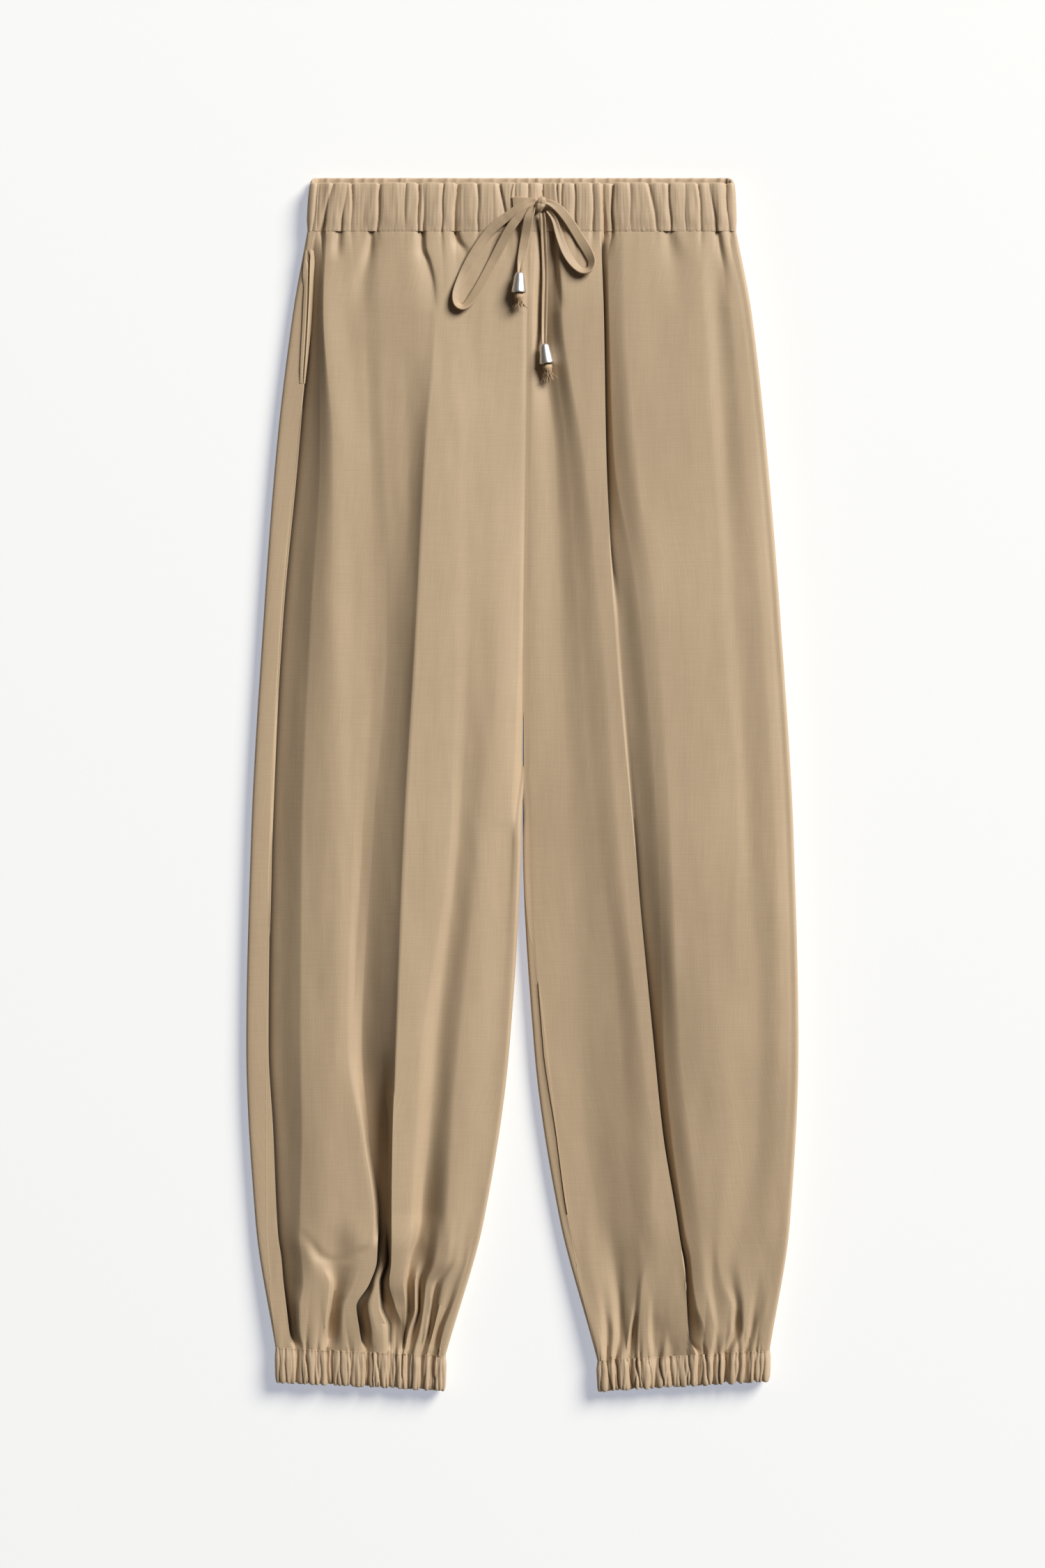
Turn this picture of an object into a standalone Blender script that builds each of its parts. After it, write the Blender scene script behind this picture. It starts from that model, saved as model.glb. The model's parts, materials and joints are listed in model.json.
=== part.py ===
"""Pull-on joggers laid flat on their back, with the front facing up.

The tables are in millimetres and the mesh in metres. X runs across the joggers,
+Y towards the waist and +Z up from the surface they lie on. A drop is a distance
down the joggers from the top edge of the waistband. Right and left are the
wearer's, so right is -X.
"""

import math
from collections import namedtuple

import bpy

MM = 0.001

# Driving sizes.
LENGTH = 1003.0
FRONT_WALL = 1.6
BACK_WALL = 1.3
SEAM_GAP = 0.3
HALF_GAP = SEAM_GAP / 2
WAIST_SEAM = 45.5
CUFF_SEAM = 968.0
FRONT_EDGE_DROP = 5.8

# How the side of a tube turns under, in columns of points.
SIDE_COLUMNS = 8
FLOOR_COLUMNS = 3
SIDE_LEAD = 9.0
EDGE_STEPS = 2
QUARTER_STEPS = 3
CROTCH_STEPS = 4
SHARP_ANGLE = 50.0

# The inner edges of the legs close from CURL_FROM to CURL_TO, above the crotch.
CURL_FROM = 478.0
CURL_TO = 547.0

# Drops of the sections, and of the rows of points between them.
# Their columns: waist seam, hip, pocket end, thigh, crotch, knee, calf, cuff seam.
SECTIONS = (45.5, 113.0, 228.0, 372.0, 545.0, 717.0, 861.0, 968.0)
ROWS = (
    45.5, 50.0, 58.0, 70.0, 90.0, 120.0, 165.0, 215.0, 280.0, 350.0, 420.0, 480.0, 520.0,
    547.0, 560.0, 575.0, 595.0, 622.0, 665.0, 717.0, 780.0, 840.0, 885.0, 915.0, 937.0, 952.0,
    962.0, 968.0,
)

# One row for each fold line that runs down the front: steps of points before it,
# where it lies across at each section, and how high the cloth stands there.
Fold = namedtuple("Fold", "name steps across height")

RIGHT_FOLDS = (
    Fold("side valley", 3, (-169, -170, -183, -195, -203, -205, -201, -189),
         (13, 8.5, 8.5, 8.5, 8.5, 8.5, 8.5, 13.5)),
    Fold("side plateau", 2, (-163, -165, -165, -174, -181, -183, -180, -178),
         (15, 16, 18, 18, 18, 17, 17, 15)),
    Fold("hip trough", 2, (-141, -135, -131, -138, -152, -155, -148, -149),
         (14, 14, 15, 17, 17.5, 16.5, 15, 14)),
    Fold("outer plateau", 2, (-118, -117, -111, -123, -139, -143, -132, -135),
         (15, 17, 18, 16.5, 15, 14, 14, 15.5)),
    Fold("main valley", 3, (-88, -80, -92, -111, -127, -129, -119, -123),
         (13, 12, 12, 10, 9, 9, 9, 13)),
    Fold("main ridge", 2, (-82, -72, -80, -87, -96, -103, -106, -108),
         (15.5, 20, 22, 23, 23, 23, 22, 16)),
    Fold("inner trough", 2, (-63, -51, -45, -51, -54, -63, -81, -83),
         (14.5, 17, 17, 16, 16, 16, 14, 14)),
    Fold("inner plateau", 2, (-45, -34, -28, -33, -34, -49, -66, -76),
         (15, 18.5, 19.5, 20, 20, 19, 17, 15)),
    Fold("inner crest", 4, (0, -1, -4, -8, -11, -20, -42, -72),
         (14.5, 18, 18, 17, 13, 11, 11, 15)),
)

LEFT_FOLDS = (
    Fold("seam crest", 2, (11, 11, 11, 9, 11, 29, 47, 70),
         (15, 14.5, 13, 12, 12, 11.5, 11.5, 14)),
    Fold("channel floor", 2, (16, 20, 23, 29, 35, 69, 80, 84),
         (12.5, 9, 10, 12.5, 13.5, 13, 13, 13)),
    Fold("channel side", 2, (32, 32, 44, 55, 58, 87, 93, 96),
         (15, 15, 17.5, 19, 19, 18.5, 17, 15.5)),
    Fold("pleat ridge", 3, (65, 69, 72, 80, 93, 110, 129, 152),
         (15.5, 18.5, 19, 20, 20, 20, 20, 16)),
    Fold("pleat valley", 1, (68, 72, 75, 84, 97, 114, 133, 156),
         (12.5, 13.5, 13, 11, 10, 10, 10, 12.5)),
    Fold("pleat side", 2, (80, 77, 82, 108, 122, 122, 135, 167),
         (15, 17.5, 18.5, 20, 20, 20, 19, 15.5)),
    Fold("wide plateau", 3, (121, 121, 133, 144, 150, 156, 167, 173),
         (14.5, 17, 18, 18.5, 19, 18.5, 17, 14.5)),
    Fold("outer dip", 2, (158, 170, 173, 179, 181, 193, 199, 180),
         (13.5, 15.5, 16, 16.5, 17, 16.5, 15, 14)),
    Fold("outer swell", 1, (166, 180, 187, 193, 196, 206, 207, 190),
         (14.5, 16, 16.5, 17, 17.5, 17, 16, 15)),
)

# One row for each edge of a half: where it lies across, how thick the laid joggers
# are there, and where the seam between front and back lies.
Edge = namedtuple("Edge", "across thick seam")

RIGHT_OUTER = Edge((-177.4, -189.5, -203.3, -214.2, -224.0, -228.0, -220.5, -203.8),
                   (13.5, 10, 10, 10, 10, 10, 10, 14),
                   (-175.1, -177.4, -185.4, -198.1, -206.1, -211.3, -211.3, -201.5))
RIGHT_INNER = Edge((6.0, 4.9, 3.7, 1.4, -0.5, -10.1, -31.3, -63.0),
                   (14.5, 14.5, 14, 12, 10, 9, 9, 14),
                   (6.0, 4.9, 3.7, 1.4, -0.5, -10.1, -31.3, -63.0))
LEFT_INNER = Edge((6.0, 4.9, 3.7, 1.4, 0.4, 9.5, 30.8, 61.8),
                  (14.5, 14.5, 14, 12, 10, 9, 9, 14),
                  (6.0, 4.9, 3.7, 1.4, 1.1, 19.8, 37.7, 63.5))
LEFT_OUTER = Edge((176.8, 189.5, 202.1, 213.6, 224.0, 228.0, 221.1, 204.4),
                  (13.5, 10, 10, 10, 10, 10, 10, 14),
                  (176.8, 189.5, 202.1, 213.6, 224.0, 228.0, 221.1, 204.4))

# The cuff seams slant: the drop at two places across each.
Slant = namedtuple("Slant", "x_a drop_a x_b drop_b")
SLANT_FROM = 861.0

Half = namedtuple("Half", "name folds low high slant cuff_depth inner_is_high")
RIGHT = Half("right", RIGHT_FOLDS, RIGHT_OUTER, RIGHT_INNER,
             Slant(-203.8, 966.0, -63.5, 972.9), 29.3, True)
LEFT = Half("left", LEFT_FOLDS, LEFT_INNER, LEFT_OUTER,
            Slant(63.0, 976.9, 203.8, 968.3), 26.0, False)

# Gathers: every second column is drawn in, and the pull fades with distance. They are
# unequal: each has its own share of the pull, from 1 - 2 * GATHER_CHANGE up to 1.
GATHER_CHANGE = 0.25
GATHER_TURN = 2.4
WAIST_GATHER = 2.8
WAIST_REACH = 26.0
CUFF_GATHER = 3.2
CUFF_REACH = 34.0

# Waistband and cuffs: how far up each, and how far the casing swells past the panel.
Casing = namedtuple("Casing", "up swell")
CASING = (Casing(0.0, 0.2), Casing(0.14, 1.1), Casing(0.55, 1.3), Casing(0.9, 1.0), Casing(1.0, 0.2))
CASING_WALL = 4.0
CASING_UNDER = 2.2
CASING_EASE = 4
WAIST_TAPER = 0.013
CUFF_TAPER = 0.014

# The slash of the side pocket, and the two lips beside it.
POCKET_DROPS = (61.5, 75.0, 92.0, 110.0, 130.0, 150.0, 171.0)
LIP_WIDTH = 3.6
LIP_SIDE = 0.8
LIP_WALL = 1.1
LIP_POINTS = 3

# The drawstring: tape width and thickness, and its runs as rows of points.
TAPE_WALL = 1.1
TAPE_STEP = 3.4
TAPE_CLEAR = 0.7
TapePoint = namedtuple("TapePoint", "x drop lift width")

STUB = (
    TapePoint(-7.6, 22.6, 0.0, 9.5), TapePoint(-2.5, 22.2, 0.0, 8.5),
    TapePoint(3.5, 22.0, 0.0, 7.0), TapePoint(10.9, 22.0, 0.0, 5.0),
)
LOOP_RIGHT = (
    TapePoint(10.1, 22.9, 1.5, 5.0), TapePoint(4.5, 24.6, 1.5, 6.0),
    TapePoint(-2.6, 28.2, 1.5, 7.0), TapePoint(-11.0, 33.6, 1.5, 7.5),
    TapePoint(-19.3, 39.7, 1.0, 8.0), TapePoint(-26.5, 46.4, 0.5, 8.0),
    TapePoint(-32.5, 54.0, 0.0, 8.0), TapePoint(-40.5, 66.4, 0.0, 8.0),
    TapePoint(-46.6, 78.0, 0.0, 8.0), TapePoint(-51.2, 89.1, 0.0, 7.5),
    TapePoint(-54.4, 99.0, 0.0, 6.5), TapePoint(-54.0, 106.6, 0.0, 5.5),
    TapePoint(-49.2, 109.4, 0.0, 5.5), TapePoint(-44.0, 105.4, 0.0, 6.5),
    TapePoint(-37.6, 96.0, 0.0, 7.5), TapePoint(-30.4, 83.5, 0.0, 8.0),
    TapePoint(-23.6, 70.2, 0.3, 8.0), TapePoint(-17.0, 57.4, 1.6, 8.0),
    TapePoint(-10.6, 45.6, 3.0, 7.5), TapePoint(-3.0, 35.4, 3.0, 7.0),
    TapePoint(4.0, 29.6, 3.0, 5.5), TapePoint(9.9, 26.9, 3.0, 4.5),
)
LOOP_LEFT = (
    TapePoint(20.4, 22.6, 1.5, 5.0), TapePoint(24.6, 24.2, 1.5, 6.0),
    TapePoint(30.2, 28.2, 1.5, 7.0), TapePoint(36.6, 35.5, 1.0, 7.5),
    TapePoint(42.6, 44.2, 0.5, 8.0), TapePoint(49.2, 55.2, 0.0, 8.0),
    TapePoint(54.3, 63.8, 0.0, 8.0), TapePoint(57.4, 71.9, 0.0, 7.5),
    TapePoint(55.2, 78.4, 0.0, 6.0), TapePoint(48.8, 79.4, 0.0, 6.0),
    TapePoint(42.4, 73.9, 0.0, 6.5), TapePoint(36.6, 65.2, 0.0, 7.0),
    TapePoint(32.2, 55.2, 0.0, 6.5), TapePoint(29.4, 46.6, 0.0, 6.0),
    TapePoint(27.0, 38.5, 0.0, 5.0), TapePoint(24.4, 33.4, 0.0, 4.5),
    TapePoint(21.2, 29.2, 0.0, 4.0),
)
TAIL_SHORT = (
    TapePoint(9.1, 27.0, 4.6, 4.0), TapePoint(7.4, 30.6, 4.8, 6.5),
    TapePoint(5.2, 36.0, 4.4, 7.5), TapePoint(3.9, 43.0, 2.6, 8.0),
    TapePoint(2.4, 52.0, 1.0, 8.0), TapePoint(0.7, 62.0, 0.6, 7.6),
    TapePoint(-1.0, 71.5, 1.8, 6.4), TapePoint(-2.0, 80.5, 4.6, 4.6),
)
TAIL_LONG = (
    TapePoint(16.4, 31.8, 3.2, 4.6), TapePoint(17.0, 37.0, 2.6, 4.8),
    TapePoint(17.4, 45.4, 1.0, 4.8), TapePoint(18.0, 58.6, 0.2, 4.8),
    TapePoint(18.6, 71.9, 0.0, 4.8), TapePoint(18.9, 85.1, 0.0, 4.8),
    TapePoint(18.5, 101.8, 0.0, 4.8), TapePoint(18.2, 118.0, 0.4, 4.8),
    TapePoint(18.1, 130.0, 2.2, 4.8), TapePoint(18.2, 138.5, 4.6, 4.6),
)

# The bow's knot.
KNOT_CENTRE = (15.2, 24.5)
KNOT_SIZE = (8.0, 13.4, 7.4)
KNOT_ROUND = 2.2

# Metal cord ends: distance down the axis and radius, and the axis of each.
END_PROFILE = (
    (0.0, 2.5), (0.7, 3.3), (3.0, 4.0), (8.0, 4.8), (13.0, 5.6), (15.6, 5.9), (16.4, 5.6), (15.4, 4.4),
)
END_SIDES = 16
CordEnd = namedtuple("CordEnd", "name x drop run lean radius tuft")
CORD_ENDS = (
    CordEnd("short", -2.1, 80.9, -0.7, 0.084, 5.0, 9.0),
    CordEnd("long", 18.3, 138.9, 2.0, 0.036, 5.4, 12.0),
)
# Where a cord end's round is tried against the cloth: shares of its radius across, and
# how far the knot below it reaches.
CONTACT_SHARES = (-0.95, -0.5, 0.0, 0.5, 0.95)
KNOT_REACH = 8.0
TUFT_SIDES = 18
KNOT_PROFILE = ((0.0, 2.2), (1.2, 3.9), (4.0, 5.0), (7.4, 4.4), (9.4, 3.2))

Finish = namedtuple("Finish", "name colour roughness metallic")
CLOTH = Finish("cloth", (0.484, 0.358, 0.229, 1.0), 0.62, 0.0)
CASING_CLOTH = Finish("casing", (0.44, 0.322, 0.205, 1.0), 0.66, 0.0)
TAPE = Finish("tape", (0.45, 0.33, 0.21, 1.0), 0.6, 0.0)
FRAY = Finish("fray", (0.36, 0.24, 0.13, 1.0), 0.85, 0.0)
METAL = Finish("metal", (0.62, 0.62, 0.64, 1.0), 0.24, 1.0)


def smooth(t):
    t = min(1.0, max(0.0, t))
    return t * t * (3.0 - 2.0 * t)


def at_drop(values, drop):
    """A curve through the sections' values, read at a drop."""
    last = len(SECTIONS) - 1
    drop = min(max(drop, SECTIONS[0]), SECTIONS[last])
    index = 0
    while index < last - 1 and drop > SECTIONS[index + 1]:
        index += 1

    def rise(i):
        return (values[i + 1] - values[i]) / (SECTIONS[i + 1] - SECTIONS[i])

    def slope(i):
        """Level at a crest or dip, and between the two rises elsewhere."""
        if i == 0 or i == last:
            return rise(min(i, last - 1))
        before = rise(i - 1)
        after = rise(i)
        return 2 * before * after / (before + after) if before * after > 0 else 0.0

    span = SECTIONS[index + 1] - SECTIONS[index]
    t = (drop - SECTIONS[index]) / span
    a = values[index]
    b = values[index + 1]
    ta = slope(index) * span
    tb = slope(index + 1) * span
    return (a * (2 * t**3 - 3 * t**2 + 1) + b * (3 * t**2 - 2 * t**3)
            + ta * (t**3 - 2 * t**2 + t) + tb * (t**3 - t**2))


def curl(drop):
    """0 where a half is cut at the centre seam, 1 where its inner edge is closed."""
    return smooth((drop - CURL_FROM) / (CURL_TO - CURL_FROM))


class Section:
    """One cross-section of a half, at a drop.

    A place on it is a path length q. Over the top q is the place across, and it
    runs on round each edge, whose centre and radius follow from the thickness.
    """

    def __init__(self, half, drop):
        self.half = half
        self.drop = drop
        closed = curl(drop)
        low_closed = 1.0 if half.inner_is_high else closed
        high_closed = closed if half.inner_is_high else 1.0
        self.low = at_drop(half.low.across, drop)
        self.high = at_drop(half.high.across, drop)
        if half.inner_is_high:
            self.high -= HALF_GAP
        else:
            self.low += HALF_GAP
        self.low_r = at_drop(half.low.thick, drop) / 2
        self.high_r = at_drop(half.high.thick, drop) / 2
        self.low_turn = low_closed * math.pi / 2
        self.high_turn = high_closed * math.pi / 2
        self.low_centre = self.low + self.low_r * math.sin(self.low_turn)
        self.high_centre = self.high - self.high_r * math.sin(self.high_turn)
        self.places = [at_drop(fold.across, drop) for fold in half.folds]
        self.heights = [at_drop(fold.height, drop) for fold in half.folds]

    def top(self, x):
        """Height of the cloth's face over the place x."""
        places = [self.low_centre] + self.places + [self.high_centre]
        heights = [2 * self.low_r] + self.heights + [2 * self.high_r]
        if x <= places[0]:
            return heights[0]
        for i in range(len(places) - 1):
            if x <= places[i + 1]:
                t = (x - places[i]) / max(places[i + 1] - places[i], 1e-6)
                return heights[i] + (heights[i + 1] - heights[i]) * smooth(t)
        return heights[-1]

    def low_seam(self):
        """Path length of the seam at the low edge."""
        seam = at_drop(self.half.low.seam, self.drop)
        if seam >= self.low_centre:
            return seam
        reach = min(1.0, max(0.0, (self.low_centre - seam) / self.low_r))
        return self.low_centre - self.low_r * min(math.asin(reach), self.low_turn)

    def high_seam(self):
        seam = at_drop(self.half.high.seam, self.drop)
        if seam <= self.high_centre:
            return seam
        reach = min(1.0, max(0.0, (seam - self.high_centre) / self.high_r))
        return self.high_centre + self.high_r * min(math.asin(reach), self.high_turn)

    def over(self, q, inward, dip=0.0):
        """Point at path length q over the top, moved into the wall by inward."""
        if q < self.low_centre:
            turn = (self.low_centre - q) / self.low_r
            reach = self.low_r - inward
            return (self.low_centre - reach * math.sin(turn), self.low_r + reach * math.cos(turn))
        if q > self.high_centre:
            turn = (q - self.high_centre) / self.high_r
            reach = self.high_r - inward
            return (self.high_centre + reach * math.sin(turn), self.high_r + reach * math.cos(turn))
        return (q, self.top(q) - inward - dip)

    def under(self, side, length, inward):
        """Point at a length along the floor and up round the low or high edge."""
        sign = -1.0 if side == "low" else 1.0
        centre = self.low_centre if side == "low" else self.high_centre
        radius = self.low_r if side == "low" else self.high_r
        if length <= SIDE_LEAD:
            return (centre - sign * (SIDE_LEAD - length), inward)
        turn = (length - SIDE_LEAD) / radius
        if turn <= math.pi:
            reach = radius - inward
            return (centre + sign * reach * math.sin(turn), radius - reach * math.cos(turn))
        x = centre - sign * (turn - math.pi) * radius
        return (x, self.top(x) - inward)

    def under_length(self, side):
        """How far the back runs from the floor up to its seam."""
        radius = self.low_r if side == "low" else self.high_r
        most = self.low_turn if side == "low" else self.high_turn
        if side == "low":
            over = self.low_centre - self.low_seam()
        else:
            over = self.high_seam() - self.high_centre
        if most < math.pi / 2 - 1e-6:
            return SIDE_LEAD + most * radius
        return SIDE_LEAD + math.pi * radius - over


def slanted(half, x, drop):
    """The drop of a point, with the slant of the cuff seam let in."""
    s = half.slant
    seam = s.drop_a + (s.drop_b - s.drop_a) * (x - s.x_a) / (s.x_b - s.x_a)
    share = max(0.0, (drop - SLANT_FROM) / (CUFF_SEAM - SLANT_FROM))
    return drop + (seam - CUFF_SEAM) * share * share


def place(x, drop, z):
    return (x * MM, (LENGTH / 2 - drop) * MM, z * MM)


def gather(column, drop):
    """How far a column is drawn in by the waist's and the cuff's elastic."""
    if column % 2 == 0:
        return 0.0
    uneven = 1.0 - GATHER_CHANGE * (1.0 - math.sin(GATHER_TURN * column))
    waist = WAIST_GATHER * math.exp(-(drop - WAIST_SEAM) / (WAIST_REACH * uneven))
    cuff = CUFF_GATHER * math.exp(-(CUFF_SEAM - drop) / (CUFF_REACH * uneven))
    return (waist + cuff) * uneven


def front_places(section):
    """Path lengths of the front's columns, from its low seam to its high seam."""
    half = section.half
    stops = [section.low_seam() + (0.0 if section.low_turn < math.pi / 2 else HALF_GAP)]
    counts = []
    for fold, x in zip(half.folds, section.places):
        stops.append(x)
        counts.append(fold.steps)
    end = section.high_seam() - (0.0 if section.high_turn < math.pi / 2 else HALF_GAP)
    if half.inner_is_high:
        stops.append(end)
        counts.append(CROTCH_STEPS)
    else:
        stops += [section.high_centre, end]
        counts += [EDGE_STEPS, QUARTER_STEPS]
    places = [stops[0]]
    for i, count in enumerate(counts):
        for step in range(1, count + 1):
            places.append(stops[i] + (stops[i + 1] - stops[i]) * step / count)
    return places


def front_ring(half, drop, gathers=True, inward=0.0):
    """The front's points across one section, as (x, z)."""
    section = Section(half, drop)
    places = front_places(section)
    ring = []
    for column, q in enumerate(places):
        inner = 0 < column < len(places) - 1
        dip = gather(column, drop) if gathers and inner else 0.0
        ring.append(section.over(q, inward, dip))
    return ring


def back_ring(half, drop, inward=0.0):
    """The back's points across one section, from the low seam to the high one."""
    section = Section(half, drop)
    sides = {}
    for side in ("low", "high"):
        full = section.under_length(side)
        if curl(drop) >= 1 or full_side(half, side):
            full -= HALF_GAP
        sides[side] = [section.under(side, full * i / (SIDE_COLUMNS - 1), inward)
                       for i in range(SIDE_COLUMNS)]
    low = sides["low"][::-1]
    high = sides["high"]
    start = low[-1][0]
    span = high[0][0] - start
    floor = [(start + span * i / (FLOOR_COLUMNS + 1), inward) for i in range(1, FLOOR_COLUMNS + 1)]
    return low + floor + high


def full_side(half, side):
    """True for a half's outer side, which is closed all the way down."""
    return (side == "low") == half.inner_is_high


def casing_lining(half, drop):
    """The back's inside of a casing, which eases from the front's wall to a thinner one."""
    thick = back_ring(half, drop, CASING_WALL)
    thin = back_ring(half, drop, CASING_UNDER)
    last = len(thick) - 1
    ring = []
    for i, (a, b) in enumerate(zip(thick, thin)):
        share = smooth(min(i, last - i) / CASING_EASE)
        ring.append((a[0] + (b[0] - a[0]) * share, a[1] + (b[1] - a[1]) * share))
    return ring


def material(finish):
    made = bpy.data.materials.new(finish.name)
    made.use_nodes = True
    shader = made.node_tree.nodes["Principled BSDF"]
    shader.inputs["Base Color"].default_value = finish.colour
    shader.inputs["Roughness"].default_value = finish.roughness
    shader.inputs["Metallic"].default_value = finish.metallic
    return made


def add_object(name, points, faces, finish):
    mesh = bpy.data.meshes.new(name)
    mesh.from_pydata(points, [], faces)
    mesh.validate()
    mesh.update()
    mesh.shade_smooth()
    mesh.set_sharp_from_angle(angle=math.radians(SHARP_ANGLE))
    mesh.materials.append(finish)
    made = bpy.data.objects.new(name, mesh)
    bpy.context.scene.collection.objects.link(made)
    return made


def wall(name, outer, inner, finish, ring=False):
    """A closed wall between two grids of points, rows by columns.

    The grids' rows run down the joggers and their columns from -X to +X over the
    top. A ring's last column joins its first.
    """
    rows = len(outer)
    columns = len(outer[0])
    points = [p for grid in (outer, inner) for row in grid for p in row]
    offset = rows * columns
    steps = columns if ring else columns - 1

    def number(grid, row, column):
        return grid * offset + row * columns + column % columns

    faces = []
    for r in range(rows - 1):
        for c in range(steps):
            face = (number(0, r, c), number(0, r + 1, c), number(0, r + 1, c + 1), number(0, r, c + 1))
            faces.append(face)
            faces.append(tuple(i + offset for i in reversed(face)))
    for c in range(steps):
        faces.append((number(0, 0, c), number(0, 0, c + 1), number(1, 0, c + 1), number(1, 0, c)))
        end = rows - 1
        faces.append((number(0, end, c + 1), number(0, end, c), number(1, end, c), number(1, end, c + 1)))
    if not ring:
        last = columns - 1
        for r in range(rows - 1):
            # Both panels at a seam split their edges the same way, so that the gap stays even.
            faces.append((number(0, r, 0), number(1, r, 0), number(1, r + 1, 0)))
            faces.append((number(0, r, 0), number(1, r + 1, 0), number(0, r + 1, 0)))
            faces.append((number(0, r, last), number(1, r + 1, last), number(1, r, last)))
            faces.append((number(0, r, last), number(0, r + 1, last), number(1, r + 1, last)))
    return add_object(name, points, faces, finish)


def panel_drop(drop):
    """A row's drop, with the seam gaps at waist and cuff taken off."""
    return min(max(drop, WAIST_SEAM + HALF_GAP), CUFF_SEAM - HALF_GAP)


def panel_rows(half, make_ring, thick):
    """Outer and inner grids of a panel."""
    grids = ([], [])
    for row in ROWS:
        drop = panel_drop(row)
        for grid, inward in zip(grids, (0.0, thick)):
            ring = make_ring(half, drop, inward=inward)
            grid.append([place(x, slanted(half, x, drop), z) for x, z in ring])
    return grids


def fronts(finish):
    for half in (RIGHT, LEFT):
        outer, inner = panel_rows(half, front_ring, FRONT_WALL)
        wall("front_" + half.name, outer, inner, finish)


def backs(finish):
    for half in (RIGHT, LEFT):
        outer, inner = panel_rows(half, back_ring, BACK_WALL)
        wall("back_" + half.name, [row[::-1] for row in outer], [row[::-1] for row in inner], finish)


def swell_out(ring, amount):
    """A section's points moved out by an amount, none below the floor."""
    moved = []
    for i, (x, z) in enumerate(ring):
        ax, az = ring[i - 1]
        bx, bz = ring[(i + 1) % len(ring)]
        dx = bx - ax
        dz = bz - az
        long = math.hypot(dx, dz) or 1.0
        moved.append((x - dz / long * amount, max(0.0, z + dx / long * amount)))
    return moved


def waistband(finish):
    """The elastic casing: one ring on the panels' own columns."""
    def fronts_ring(gathers, inward):
        right = front_ring(RIGHT, WAIST_SEAM, gathers, inward)
        return right + front_ring(LEFT, WAIST_SEAM, gathers, inward)[1:]

    def backs_ring(make_ring):
        back = make_ring(RIGHT, WAIST_SEAM)[:-1] + make_ring(LEFT, WAIST_SEAM)[1:]
        return back[::-1]

    outline = fronts_ring(True, 0.0) + backs_ring(back_ring)
    lining = fronts_ring(False, CASING_WALL) + backs_ring(casing_lining)
    crown = max(z for x, z in lining)
    outer = []
    inner = []
    for level in reversed(CASING):
        swollen = swell_out(outline, level.swell)
        scale = 1.0 - WAIST_TAPER * level.up
        outer_row = []
        inner_row = []
        for (x, z), (ix, iz) in zip(swollen, lining):
            lift = smooth(z / crown)
            top = FRONT_EDGE_DROP * lift
            drop = WAIST_SEAM - HALF_GAP + (top - WAIST_SEAM + HALF_GAP) * level.up
            outer_row.append(place(x * scale, drop, z))
            inner_row.append(place(ix * scale, drop, iz))
        outer.append(outer_row)
        inner.append(inner_row)
    wall("waistband", outer, inner, finish, ring=True)


def cuffs(finish):
    """The elastic casing of each leg, on the same columns as its panels."""
    for half in (RIGHT, LEFT):
        front = front_ring(half, CUFF_SEAM)
        outline = front + back_ring(half, CUFF_SEAM)[::-1]
        plain = front_ring(half, CUFF_SEAM, False, CASING_WALL) + casing_lining(half, CUFF_SEAM)[::-1]
        middle = (half.slant.x_a + half.slant.x_b) / 2
        outer = []
        inner = []
        for level in CASING:
            swollen = swell_out(outline, level.swell)
            scale = 1.0 - CUFF_TAPER * level.up
            down = HALF_GAP + half.cuff_depth * level.up
            outer_row = []
            inner_row = []
            for (x, z), (ix, iz) in zip(swollen, plain):
                x = middle + (x - middle) * scale
                ix = middle + (ix - middle) * scale
                outer_row.append(place(x, slanted(half, x, CUFF_SEAM) + down, z))
                inner_row.append(place(ix, slanted(half, ix, CUFF_SEAM) + down, iz))
            outer.append(outer_row)
            inner.append(inner_row)
        wall("cuff_" + half.name, outer, inner, finish, ring=True)


def pocket_lips(finish):
    """The two narrow lips of the pocket slash in the right side seam."""
    for name, sign in (("pocket_lip_back", -1.0), ("pocket_lip_front", 1.0)):
        outer = []
        inner = []
        for drop in POCKET_DROPS:
            section = Section(RIGHT, drop)
            seam = section.low_seam()
            across = [seam + sign * (LIP_SIDE + LIP_WIDTH * i / (LIP_POINTS - 1)) for i in range(LIP_POINTS)]
            across.sort()
            outer.append([place(x, drop, z) for x, z in
                          (section.over(q, -SEAM_GAP - LIP_WALL) for q in across)])
            inner.append([place(x, drop, z) for x, z in
                          (section.over(q, -SEAM_GAP) for q in across)])
        wall(name, outer, inner, finish)


def cloth_top(x, drop):
    """Height of the joggers' upper face at a place, gathers left out."""
    level = max(drop, WAIST_SEAM)
    half = RIGHT if x < at_drop(RIGHT_INNER.across, level) else LEFT
    swell = CASING[2].swell if drop <= WAIST_SEAM else 0.0
    return Section(half, level).top(x) + swell


def through(points, step):
    """Points along a smooth curve through named rows, about a step apart."""
    made = []
    last = len(points) - 1
    for i in range(last):
        before = points[max(i - 1, 0)]
        a = points[i]
        b = points[i + 1]
        after = points[min(i + 2, last)]
        length = math.hypot(b.x - a.x, b.drop - a.drop)
        count = max(1, round(length / step))
        for k in range(count):
            t = k / count
            made.append(TapePoint(*[
                0.5 * (2 * q + (r - p) * t + (2 * p - 5 * q + 4 * r - s) * t * t
                       + (3 * q - p - 3 * r + s) * t**3)
                for p, q, r, s in zip(before, a, b, after)]))
    made.append(points[last])
    return made


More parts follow.
